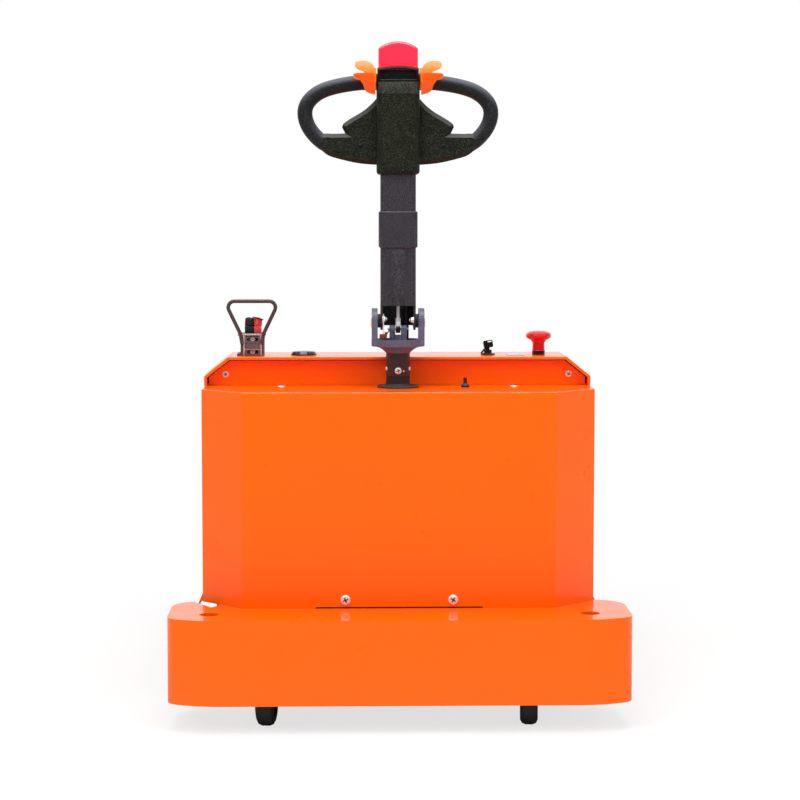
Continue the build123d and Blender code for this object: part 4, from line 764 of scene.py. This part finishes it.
@dataclass
class Assembly:
    """A sub-assembly, whose pieces take their finishes from one shop and their heads from one stock."""

    shop: Paintshop
    hardware: Hardware

    def screws(self, form: Form, radius: float, way: Point, places: list[Point], flat: float = 1.0,
               drive: Drive = Drive.CROSS) -> None:
        """Adds domed screw heads.

        Args:
            form: what they join.
            radius: the heads' radius.
            way: where they point.
            places: where they sit.
            flat: share of its height that a head keeps.
            drive: the recess in them.
        """
        self.hardware.set_many(form, self.hardware.pan[drive], radius, way, places, flat=flat)

    def recess_shade_crosses(self, form: Form, radius: float, way: Point, places: list[Point],
                flat: float = 1.0) -> None:
        """Adds dark crosses painted as the shade in cross recesses, with the sizes that the heads round
        them have.
        """
        self.hardware.set_many(form, self.hardware.slots, radius, way, places, flat=flat)

    def bolts(self, form: Form, radius: float, way: Point, places: list[Point],
              roll: float = 20.0) -> None:
        """Adds hexagon heads, the first of them turned by roll."""
        self.hardware.set_many(form, self.hardware.bolt, radius, way, places, roll)


@dataclass
class BodyFront(Assembly):
    """Screws of the hood and the console's panel."""

    hood_face: float = -485.0
    hood_top: float = 561.0
    panel_face: float = -325.0
    foot_screws: tuple[float, float] = (92.0, 205.4)
    top_screws: tuple[float, float] = (204.0, -352.0)
    panel_screws: tuple[float, float] = (303.0, 580.6)
    gap_half: float = 333.4
    gap_top_half: float = 295.6

    def build(self) -> None:
        """Makes the pieces."""
        heads, slots = Form("body_screws"), Form("body_screw_recess_shade")
        for radius, flat, way, (x, y, z) in (
            (8.6, 0.8, FRONT, (self.foot_screws[0], self.hood_face, self.foot_screws[1])),
            (7.0, 0.4, UP, (*self.top_screws, self.hood_top)),
            (6.0, 0.7, FRONT, (self.panel_screws[0], self.panel_face, self.panel_screws[1])),
        ):
            places = [(-x, y, z), (x, y, z)]
            self.screws(heads, radius, way, places, flat)
            self.recess_shade_crosses(slots, radius, way, places, flat)
        heads.piece(self.shop, Look.NICKEL, "steel", "root")
        # Painted shade in the screws' cross recesses.
        slots.piece(self.shop, Look.DARK_STEEL_AND_SHADE, "steel", "root")
        self._foot_gap_shade()
        self._panel_gap_shade()
        self._flare_ends()

    def _foot_gap_shade(self) -> None:
        """Dark strips that stand in for the shade in the gap under the hood's foot: painted shade."""
        strip = Form("foot_gap_shade")
        strip.block((284, 3, 2.1), upright(0, self.hood_face + 2.2, 192.1), 0.3)
        strip.plate([(268, -485.5), (340.4, -413.1), (339.6, -411), (266.6, -484)], 1.3,
                    upright(0, 0, 191.0))
        # Dark rubber colour used as painted shade in the gap.
        strip.piece(self.shop, Look.SOFT, "soft_rubber", "root")

    def _panel_gap_shade(self) -> None:
        """A dark line painted as the shade in the gap round the console's recessed panel."""
        near = self.panel_face - 0.6
        form = Form("panel_gap_shade")
        right = [(self.gap_top_half, near, 606.1), (self.gap_half, near, 576.3),
                 (self.gap_half, near, 564)]
        form.tube([(-x, y, z) for x, y, z in reversed(right)] + right, 1.25, 2, False)
        form.piece(self.shop, Look.GAP_SHADE, "soft_rubber", "root")

    def _flare_ends(self) -> None:
        """Small folded plates that close the front ends of the flared skirts."""
        form = Form("flare_ends")
        for side in (-1, 1):
            form.plate([(side * 336, 205), (side * 340, 205), (side * 352, 177), (side * 336, 177)], 2.0,
                       Matrix.Translation(mm(0, -324.9, 0)) @ Matrix.Rotation(math.pi / 2, 4, "X"), 0.4)
        form.piece(self.shop, Look.ORANGE, "orange_paint", "root")


@dataclass
class Controls(Assembly):
    """What the controls on the console show from near: contacts, bars, gauge face and ring."""

    plug: float = -257.0
    gauge: float = -166.0
    face: float = -280.0
    top: float = 612.0
    contacts: tuple[float, float] = (641.0, 618.5)

    def build(self) -> None:
        """Makes the pieces."""
        self._contacts()
        self._boots()
        dial = Form("gauge_lens")
        dial.turned([(0, 5.2), (13.6, 5.2), (14.2, 5.6), (13.4, 6.4), (8, 7.0), (0, 7.3)],
                    upright(self.gauge, self.face, self.top), 44)
        dial.piece(self.shop, Look.GLOSS, "black_gloss", "root")

    def _contacts(self) -> None:
        """The plug's face plate with its two recesses, their contacts and the pale bars round it."""
        near = self.face - 23.0
        plate = Form("plug_face")
        plate.block((27, 3.0, 35), upright(self.plug + 1, near - 1, 631), 0.5)
        knife = Form("recesses")
        for height in self.contacts:
            knife.block((20, 8, 6.6), upright(self.plug + 1, near - 1, height), 3.0, 4)
        knife.block((22, 8, 1.2), upright(self.plug + 1, near - 2, 646.6), 0.3)
        plate = plate.combined(knife)
        for height in (635.0, 624.0):
            plate.block((27, 1.2, 1.4), upright(self.plug + 1, near - 2.8, height), 0.4)
        plate.piece(self.shop, Look.FACE, "grey_moulding", "root")
        contacts = Form("plug_contacts")
        for height in self.contacts:
            contacts.turned([(1.3, 0), (3.9, 0), (3.9, 2.2), (3.3, 2.8), (1.8, 2.8), (1.3, 2.2),
                             (1.3, 0)], facing(mm(self.plug + 1, near + 0.5, height), FRONT), 24)
        contacts.piece(self.shop, Look.COPPER, "steel", "root")
        bars = Form("plug_bars")
        for place in (-14.5, 16):
            bars.block((2.8, 3.4, 37), upright(self.plug + place, near - 1.6, 631.5), 0.8)
        bars.block((50, 3.4, 2.8), upright(self.plug, near - 1.6, 649.6), 0.9)
        bars.block((32, 3.4, 2.0), upright(self.plug + 0.7, near - 1.6, 623.4), 0.7)
        bars.piece(self.shop, Look.BARS, "grey_moulding", "root")

    def _boots(self) -> None:
        """The two boots that the leads leave the plug through, and the strap between them."""
        for name, at, wide, look in (("boot_dark", -5.2, 17, Look.SOFT),
                                     ("boot_red", 9.2, 13, Look.REDRUBBER)):
            boot = Form(name)
            boot.block((wide, 16, 13), upright(self.plug + at, self.face, 657), 1.6)
            boot.block((wide - 2.5, 15, 16), facing(mm(self.plug + at + 0.5, self.face + 0.5, 670.5),
                                                    (0.08, 0.1, 1)), 3.6, 3)
            boot.piece(self.shop, look, "cable_sheath", "root")
        strap = Form("boot_strap")
        strap.block((2.2, 17.5, 25), facing(mm(self.plug + 3.2, self.face, 664.5), (0.03, 0, 1)), 0.8)
        strap.block((15, 17.5, 2.0),
                    facing(mm(self.plug + 9.4, self.face + 0.5, 677.0), (0.28, 0.1, 1)), 0.8)
        strap.piece(self.shop, Look.GLOSS, "cable_sheath", "root")


# ---- Tiller ---------------------------------------------------------------------------------


@dataclass
class TillerFoot(Assembly):
    """Screws, bolt heads, switch and cable round the tiller's tilt joint."""

    axis: float = -372.0
    tilt: float = 677.0
    collar_screw: tuple[float, float] = (20.8, 591.0)
    ear_face: float = 45.6
    cheek_face: float = 26.7
    cable_x: float = 15.0
    bend_half: float = 18.0

    def build(self) -> None:
        """Makes the pieces."""
        self._collar()
        self._bolts()
        self._ferrule()
        self._cable()
        self._switch()

    def _collar(self) -> None:
        """The collar's screw, seen from the front, and its two side screws."""
        ahead, height = self.collar_screw
        front = [(0, self.axis - ahead, height)]
        # Painted shade in the collar screw's cross recess.
        form = Form("collar_recess_shade")
        self.recess_shade_crosses(form, 6.0, FRONT, front)
        form.piece(self.shop, Look.DARK_STEEL_AND_SHADE, "steel", "steering")
        form = Form("collar_screws")
        self.screws(form, 6.0, FRONT, front)
        self.screws(form, 1.6, (0.28, -1, 0), [(9.4, self.axis - 18.9, 590.2)])
        for side in (-1, 1):
            self.screws(form, 3.6, (side, -0.35, 0), [(side * 19.6, self.axis - 6.9, 594)],
                        drive=Drive.SOCKET)
        form.piece(self.shop, Look.NICKEL, "steel", "steering")

    def _bolts(self) -> None:
        """Rings round the pivots outside the yoke's ears, and bolt heads inside them."""
        form = Form("pivot_rings")
        for side in (-1, 1):
            form.turned([(8.3, 0), (12, 0), (12, 0.9), (11.2, 1.3), (8.3, 1.3), (8.3, 0)],
                        facing(mm(side * self.ear_face, self.axis, self.tilt), (side, 0, 0)), 32)
        form.piece(self.shop, Look.NICKEL, "steel", "steering")
        form = Form("cheek_nuts")
        for side, height in ((-1, 681), (1, 679)):
            inward, place = (-side, 0, 0), (side * self.cheek_face, self.axis - 15, height)
            self.bolts(form, 6.0, inward, [place])
            form.turned([(0, 6), (2.6, 6), (2.6, 7.0), (2.2, 7.4), (0, 7.4)],
                        facing(mm(*place), inward), 16)
        form.piece(self.shop, Look.NICKEL, "steel", "tiller")

    def _ferrule(self) -> None:
        """The bright sleeve at the gas rod's lower end."""
        top, foot = mm(0, self.axis + 12, 857), mm(0, self.axis - 8, 663)
        way = (top - foot).normalized()
        form = Form("rod_ferrule")
        form.turned([(3.1, 4), (4.6, 4.6), (4.7, 12), (4.1, 13), (4.1, 17), (3.4, 18.4), (3.1, 18.4),
                     (3.1, 4)], facing(foot, tuple(way)), 28)
        form.piece(self.shop, Look.NICKEL, "steel", "gas_rod")

    def _cable(self) -> None:
        """The control cable in one run across the tilt joint, in place of its two stiff halves."""
        form = Form("control_cable")
        x, y = self.cable_x, self.axis + 9
        form.tube([(x, y, 638), (x, y, 655), (x, y, self.tilt), (x, y, 700), (x + 0.6, y, 730),
                   (x + 1, y, 760), (x + 1, y, 799)], 4.0, 5)
        cable = form.piece(self.shop, Look.SHEATH, "cable_sheath", None)
        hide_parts("cable_foot", "cable_run")
        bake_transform(cable)

    def _switch(self) -> None:
        """The small brown switch in the yoke's cup and its thin wire."""
        y = self.axis - 24
        lever = Form("tilt_switch")
        lever.block((13, 9, 9), upright(-26, y, 650.5), 1.4)
        lever.block((6, 5, 5), facing(mm(-21, y, 656), (0.3, 0, 1)), 1.0)
        lever.piece(self.shop, Look.LEVER, "orange_moulding", "steering")
        rod = Form("switch_rod")
        rod.tube([(-25.5, y + 1, 655), (-25.5, y + 1, 690)], 0.9, 2, False)
        rod.piece(self.shop, Look.NICKEL, "steel", "steering")
        wire = Form("switch_wire")
        wire.tube([(-20, y, 655), (-14, y - 1, 661), (-7, y + 1, 656), (-6, y + 6, 647)], 0.9, 2)
        wire.piece(self.shop, Look.SHEATH, "cable_sheath", "steering")


@dataclass
class TillerHead(Assembly):
    """Screws, parting lines and lip of the head."""

    axis: float = -372.0
    cap_face: float = 28.0
    lip_face: float = 29.4
    arch: tuple[tuple[float, float], ...] = ((0, 1112.2), (14, 1111.6), (27, 1109.6), (33, 1108.6))

    def build(self) -> None:
        """Makes the pieces."""
        form = Form("wing_screws")
        self.screws(form, 3.6, FRONT,
                          [(-65, self.axis - 13.8, 978.6), (77.6, self.axis - 13.8, 978.2)])
        form.piece(self.shop, Look.DARK_STEEL_AND_SHADE, "steel", "tiller")
        rib = Form("arm_rib")
        rib.block((26.4, 1.4, 97), upright(0, self.axis - 25.2, 754.5), 0.6)
        rib.piece(self.shop, Look.ARM, "black_coating", "tiller")
        self._recess_shade_and_ledge()
        self._lip()
        self._facet()
        self._paddle_wing_shade()

    def _recess_shade_and_ledge(self) -> None:
        """The dark band painted as the shade in the cap's recess, with two dark discs painted as the
        shade of its screw holes, and the pale ledge under it.
        """
        face = self.axis - self.cap_face
        form = Form("recess_shade_band")
        # Painted shade: a dark band and two dark discs fill the cap's recess.
        form.block((62, 1.2, 15), upright(0, face + 5.0, 1100), 0.4)
        for side in (-1, 1):
            form.turned([(0, 0), (4.6, 0), (4.6, 2.2), (3.8, 3.0), (0, 3.0)],
                        facing(mm(side * 21, face + 4.6, 1100), FRONT), 24)
        form.piece(self.shop, Look.GLOSS, "black_moulding", "tiller")
        form = Form("ledge_trim")
        for half, ahead, height, radius in ((31, 0.6, 1091.3, 0.8), (30.5, 0.4, 1108.6, 0.6)):
            form.tube([(-half, face - ahead, height), (half, face - ahead, height)], radius, 2, False)
        form.piece(self.shop, Look.ARM, "black_moulding", "tiller")

    def _lip(self) -> None:
        """The button's arched lip, in a darker red that paints the shade on its lower edge, and the
        housing's edge under it.
        """
        near = self.axis - self.lip_face
        line = [(-x, z) for x, z in reversed(self.arch[1:])] + list(self.arch)
        for name, lift, radius, look, slot in (("button_lip", 2.8, 2.1, Look.RED_SHADE, "red_moulding"),
                                               ("housing_edge", -0.8, 1.6, Look.HEAD, "black_moulding")):
            form = Form(name)
            form.tube([(x, near, z + lift) for x, z in line], radius, 3)
            form.piece(self.shop, look, slot, "tiller")

    def _facet(self) -> None:
        """The paler facet under the ledge."""
        form = Form("head_facet")
        form.block((69, 1.4, 20), upright(0, self.axis - 32.1, 1077.5), 0.5)
        form.piece(self.shop, Look.FACET, "black_moulding", "tiller")

    def _paddle_wing_shade(self) -> None:
        """A darker orange face on each paddle's lower wing, curved like the paddle: painted shade, as the
        lower wing faces front and down.
        """
        outline = [(-76.0, 1099), (-74.4, 1094.2), (-66.4, 1091), (-60.6, 1082.6), (-56.6, 1073.4),
                   (-49.6, 1069.4), (-41, 1068.2), (-41, 1100.6), (-47, 1102.2), (-60, 1101),
                   (-68, 1101.2)]
        form = Form("paddle_wing_shade")
        for side in (-1, 1):
            block = Form("wing")
            block.plate([(side * x, z) for x, z in outline], 80.0,
                        Matrix.Translation(mm(0, self.axis, 0)) @ Matrix.Rotation(math.pi / 2, 4, "X"))
            ring = Form("ring")
            ring.turned([(43.8, -90), (45.3, -90), (45.3, 90), (43.8, 90), (43.8, -90)],
                        facing(mm(0, self.axis, 1094), (1, 0, 0)), 120)
            form.stamp(block.combined(ring, "INTERSECT").stock(), Matrix.Identity(4))
        form.piece(self.shop, Look.PADDLE_SHADE, "orange_moulding", "tiller", 50)


# ---- Rear and running gear ------------------------------------------------------------------


@dataclass
class BodyRear(Assembly):
    """Bolts of the rear plate, the jaw and the hinges, and screws of the side and rear panels."""

    plate: float = 480.0
    side: float = 340.0
    jaw_base: float = 12.0
    leaf: float = 3.0
    side_rows: tuple[float, ...] = (-296.0, -40.0, 452.0)
    side_middle: float = 210.0
    side_heights: tuple[float, float] = (521.0, 222.0)
    flat: float = 0.6

    def build(self) -> None:
        """Makes the pieces."""
        bolts = Form("rear_bolts")
        jaw = self.plate + self.jaw_base
        self.bolts(bolts, 11.5, BACK, [(x, jaw, z) for x in (-62, 62) for z in (203, 317)])
        self.bolts(bolts, 9.5, BACK, [(x, self.plate, z) for x in (-300, 300) for z in (140, 308)])
        bolts.piece(self.shop, Look.ZINC, "steel", "root")
        heads, slots = Form("panel_screws"), Form("panel_screw_recess_shade")
        hinges = [(x, self.plate + self.leaf, z) for x in (-226, -174, 174, 226) for z in (503, 522)]
        rows = [(5.0, BACK, hinges), (6.5, BACK, [(x, self.plate, 350) for x in (-300, -100, 100, 300)])]
        high, low = self.side_heights
        upper = sorted((*self.side_rows, self.side_middle))
        for side in (-1, 1):
            for depths, height in ((upper, high), (self.side_rows, low)):
                rows.append((6.5, (side, 0, 0), [(side * self.side, y, height) for y in depths]))
        for radius, way, places in rows:
            self.screws(heads, radius, way, places, self.flat)
            self.recess_shade_crosses(slots, radius, way, places, self.flat)
        heads.piece(self.shop, Look.NICKEL, "steel", "root")
        # Painted shade in the screws' cross recesses.
        slots.piece(self.shop, Look.DARK_STEEL_AND_SHADE, "steel", "root")


@dataclass
class RearWheel(Assembly):
    """Grooved solid tyre and hub bolts of one rear wheel."""

    side: int
    middle: float = 287.5
    axle: Point = (0.0, 280.0, 125.0)
    bolt_count: int = 5
    bolt_circle: float = 51.0
    hub_face: float = 14.6
    cap: tuple[tuple[float, float], ...] = (
        (0, 42.6), (22, 42.6), (23, 43.2), (21, 44.6), (6, 45.4), (0, 45.4))
    tread: tuple[tuple[float, float], ...] = (
        (84.2, 37.4), (92, 37.5), (93, 38.1), (94.5, 38.1), (95.5, 37.5), (108, 37.5), (109, 38.0),
        (110.5, 37.8), (111.5, 37.2), (117.5, 36.4), (122, 33.6), (124.8, 28.5), (125, 16.8),
        (120.4, 16.0), (120.4, 12.0), (125, 11.2), (125, 2.4), (120.4, 1.8))
    notches: int = 34
    notch: Point = (9.0, 6.0, 12.5)
    shoulder: tuple[float, float] = (125.0, 33.0)

    @property
    def name(self) -> str:
        """Returns the wheel's side as the frame's names have it."""
        return "left" if self.side < 0 else "right"

    def build(self) -> None:
        """Makes the pieces."""
        self._tyre()
        form = Form(f"hub_bolts_{self.name}")
        _, y, z = self.axle
        for number in range(self.bolt_count):
            turn = math.tau * number / self.bolt_count
            place = (self.side * (self.middle + self.hub_face), y + self.bolt_circle * math.cos(turn),
                     z + self.bolt_circle * math.sin(turn))
            self.bolts(form, 9.5, (self.side, 0, 0), [place], 15 + 50 * number)
        form.turned(list(self.cap), self._centre())
        form.piece(self.shop, Look.ZINC, "steel", f"rear_wheel_{self.name}")

    def _centre(self) -> Matrix:
        """Returns the wheel's own frame, with Z pointing outward along the axle."""
        return facing(mm(self.side * self.middle, *self.axle[1:]), (self.side, 0, 0))

    def _tyre(self) -> None:
        """The tyre: three grooves round its tread, notched shoulders and two lines on each wall."""
        half = list(self.tread)
        profile = half + [(radius, -height) for radius, height in reversed(half)] + half[:1]
        tread = Form(f"tyre_tread_{self.name}")
        tread.turned(profile, self._centre(), 96)
        cutter = Form("notches")
        for number in range(self.notches):
            for edge in (-1, 1):
                turn = Matrix.Rotation(math.tau * (number + 0.25 * edge) / self.notches, 4, "Z")
                radius, depth = self.shoulder
                place = Matrix.Translation(mm(radius, 0, edge * depth))
                cutter.block(self.notch, self._centre() @ turn @ place)
        tyre = tread.combined(cutter).piece(self.shop, Look.TYRE, "black_rubber",
                                            f"rear_wheel_{self.name}", 40)
        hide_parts(f"rear_tyre_{self.name}")


@dataclass
class Casters(Assembly):
    """Axle bolts of the two casters."""

    half: float = 25.0
    lean: float = -5.0
    wheels: tuple[tuple[str, float], ...] = (("left", -225.05), ("right", 218.95))
    depth: float = -529.9
    axle: float = 50.0

    def build(self) -> None:
        """Makes the pieces."""
        along = Vector((math.cos(math.radians(self.lean)), math.sin(math.radians(self.lean)), 0))
        for name, x in self.wheels:
            form = Form(f"caster_bolts_{name}")
            for way in (-1, 1):
                place = Vector((x, self.depth, self.axle)) + along * way * self.half
                self.bolts(form, 8.5, tuple(along * way), [tuple(place)])
            form.piece(self.shop, Look.ZINC, "steel", f"caster_fork_{name}")


@dataclass
class DriveUnit(Assembly):
    """Cover bolts on the gearbox's leg."""

    face: float = 86.0
    axis: float = -372.0
    rows: tuple[float, ...] = (92.0, 140.0, 190.0)

    def build(self) -> None:
        """Makes the pieces."""
        form = Form("gearbox_bolts")
        self.bolts(form, 7.0, (1, 0, 0),
                   [(self.face, self.axis + y, z) for y in (-34, 34) for z in self.rows])
        form.piece(self.shop, Look.ZINC, "steel", "steering")


# ---- Studio ---------------------------------------------------------------------------------


@dataclass
class Lamp:
    """A soft rectangular lamp that looks at a point."""

    name: str
    place: Point
    target: Point
    width: float
    height: float
    power: float
    glossy: bool = False

    def build(self) -> bpy.types.Object:
        """Makes the lamp and returns it."""
        data = bpy.data.lights.new(self.name, "AREA")
        data.shape = "RECTANGLE"
        data.size = self.width
        data.size_y = self.height
        data.energy = self.power
        lamp = placed(self.name, data)
        lamp.visible_glossy = self.glossy
        lamp.location = self.place
        aim = Vector(self.target) - Vector(self.place)
        lamp.rotation_euler = aim.to_track_quat("-Z", "Y").to_euler()
        return lamp


@dataclass
class Studio:
    """Pale floor, white backdrop, soft lamps and the camera."""

    lens: float = 99.0
    eye: Point = (-0.080, -4.200, 0.860)
    pitch: float = 85.2
    turn: float = -1.25
    floor_half: float = 14.0
    ambient: float = 0.42
    dim: float = 0.02
    lift: float = 0.72
    lamps: list[Lamp] = field(default_factory=lambda: [
        Lamp("key_lamp", (-2.6, -3.4, 3.6), (0.0, -0.4, 0.5), 2.4, 2.4, 75.0),
        Lamp("fill_lamp", (3.2, -2.8, 2.4), (0.0, -0.3, 0.5), 2.4, 2.4, 36.5),
        Lamp("top_lamp", (0.0, -0.9, 4.2), (0.0, -0.2, 0.4), 3.4, 3.0, 150.0, True),
    ])

    def build(self) -> None:
        """Makes the whole studio."""
        self.camera()
        self.world()
        self.floor()
        for lamp in self.lamps:
            lamp.build()
            log.info("lamp %s", lamp.name)

    def camera(self) -> None:
        """Makes the camera at the photograph's place."""
        data = bpy.data.cameras.new("camera")
        data.lens = self.lens
        data.sensor_width = 36.0
        data.clip_end = 60.0
        eye = placed("camera", data)
        eye.location = self.eye
        eye.rotation_euler = [math.radians(a) for a in (self.pitch, 0.0, self.turn)]
        bpy.context.scene.camera = eye

    def world(self) -> None:
        """White where it is seen, softer where it lights the machine."""
        world = bpy.data.worlds.new("studio")
        bpy.context.scene.world = world
        world.use_nodes = True
        graph = Graph(world.node_tree)
        back = world.node_tree.nodes["Background"]
        back.inputs["Color"].default_value = (1.0, 1.0, 1.0, 1.0)
        path = graph.add("ShaderNodeLightPath")
        way = graph.add("ShaderNodeTexCoord").outputs["Generated"]
        front = graph.ranged(graph.along(way, "Y"), -0.3, 0.8, self.dim, 1.0)
        raised = graph.ranged(graph.along(way, "Z"), 0.35, 0.9, 0.0, 1.0)
        mirrored = graph.maths("MAXIMUM", front, raised)
        straight = graph.maths("MAXIMUM", path.outputs["Is Camera Ray"],
                               path.outputs["Is Transmission Ray"])
        shine = graph.maths("MULTIPLY", path.outputs["Is Glossy Ray"], mirrored)
        seen = graph.maths("MAXIMUM", straight, path.outputs["Is Glossy Ray"])
        plain = graph.maths("MULTIPLY", graph.maths("SUBTRACT", 1.0, seen), self.ambient)
        strength = graph.maths("ADD", graph.maths("MAXIMUM", straight, shine), plain)
        graph.join(strength, back.inputs["Strength"])

    def floor(self) -> None:
        """Pale floor that keeps the machine's shadow and turns white away from it."""
        mesh = bpy.data.meshes.new("floor")
        shape = bmesh.new()
        bmesh.ops.create_grid(shape, x_segments=1, y_segments=1, size=self.floor_half)
        shape.to_mesh(mesh)
        shape.free()
        floor = placed("floor", mesh)
        made = bpy.data.materials.new("floor")
        made.use_nodes = True
        graph = Graph(made.node_tree)
        shader = made.node_tree.nodes["Principled BSDF"]
        shader.inputs["Roughness"].default_value = 0.85
        place = graph.place()
        path = graph.add("ShaderNodeLightPath")
        front = graph.ranged(graph.along(place, "Y"), -1.3, 1.0, self.dim, 1.0)
        plain = graph.maths("SUBTRACT", 1.0, path.outputs["Is Glossy Ray"])
        noise = graph.ranged(graph.noise(place, 3.0, 4.0), 0.3, 0.7, 0.9, 0.94)
        shade = graph.maths("MULTIPLY", noise, graph.maths("MAXIMUM", front, plain))
        tint = graph.add("ShaderNodeCombineColor")
        for socket in tint.inputs[:3]:
            graph.join(shade, socket)
        graph.join(tint.outputs[0], shader.inputs["Base Color"])
        reach = graph.add("ShaderNodeVectorMath", operation="LENGTH")
        graph.join(place, reach.inputs[0])
        far = graph.ranged(reach.outputs["Value"], 0.5, 1.5, self.lift, 1.0)
        white = graph.add("ShaderNodeEmission", Strength=1.0)
        mix = graph.add("ShaderNodeMixShader")
        graph.join(graph.maths("MULTIPLY", far, path.outputs["Is Camera Ray"]), mix.inputs[0])
        graph.join(shader.outputs[0], mix.inputs[1])
        graph.join(white.outputs[0], mix.inputs[2])
        graph.join(mix.outputs[0], made.node_tree.nodes["Material Output"].inputs["Surface"])
        floor.data.materials.append(made)


def main() -> None:
    """Builds the studio, the finishes and every sub-assembly's pieces."""
    logging.basicConfig(level=logging.INFO, format="%(message)s")
    bpy.context.scene.view_settings.view_transform = "Standard"
    Studio().build()
    shop = Paintshop()
    shop.dress_nodes()
    hardware = Hardware()
    for unit in (BodyFront, Controls, TillerFoot, TillerHead, BodyRear):
        unit(shop, hardware).build()
    for side in (-1, 1):
        RearWheel(shop, hardware, side).build()
    for unit in (Casters, DriveUnit):
        unit(shop, hardware).build()


if __name__ == "__main__":
    main()
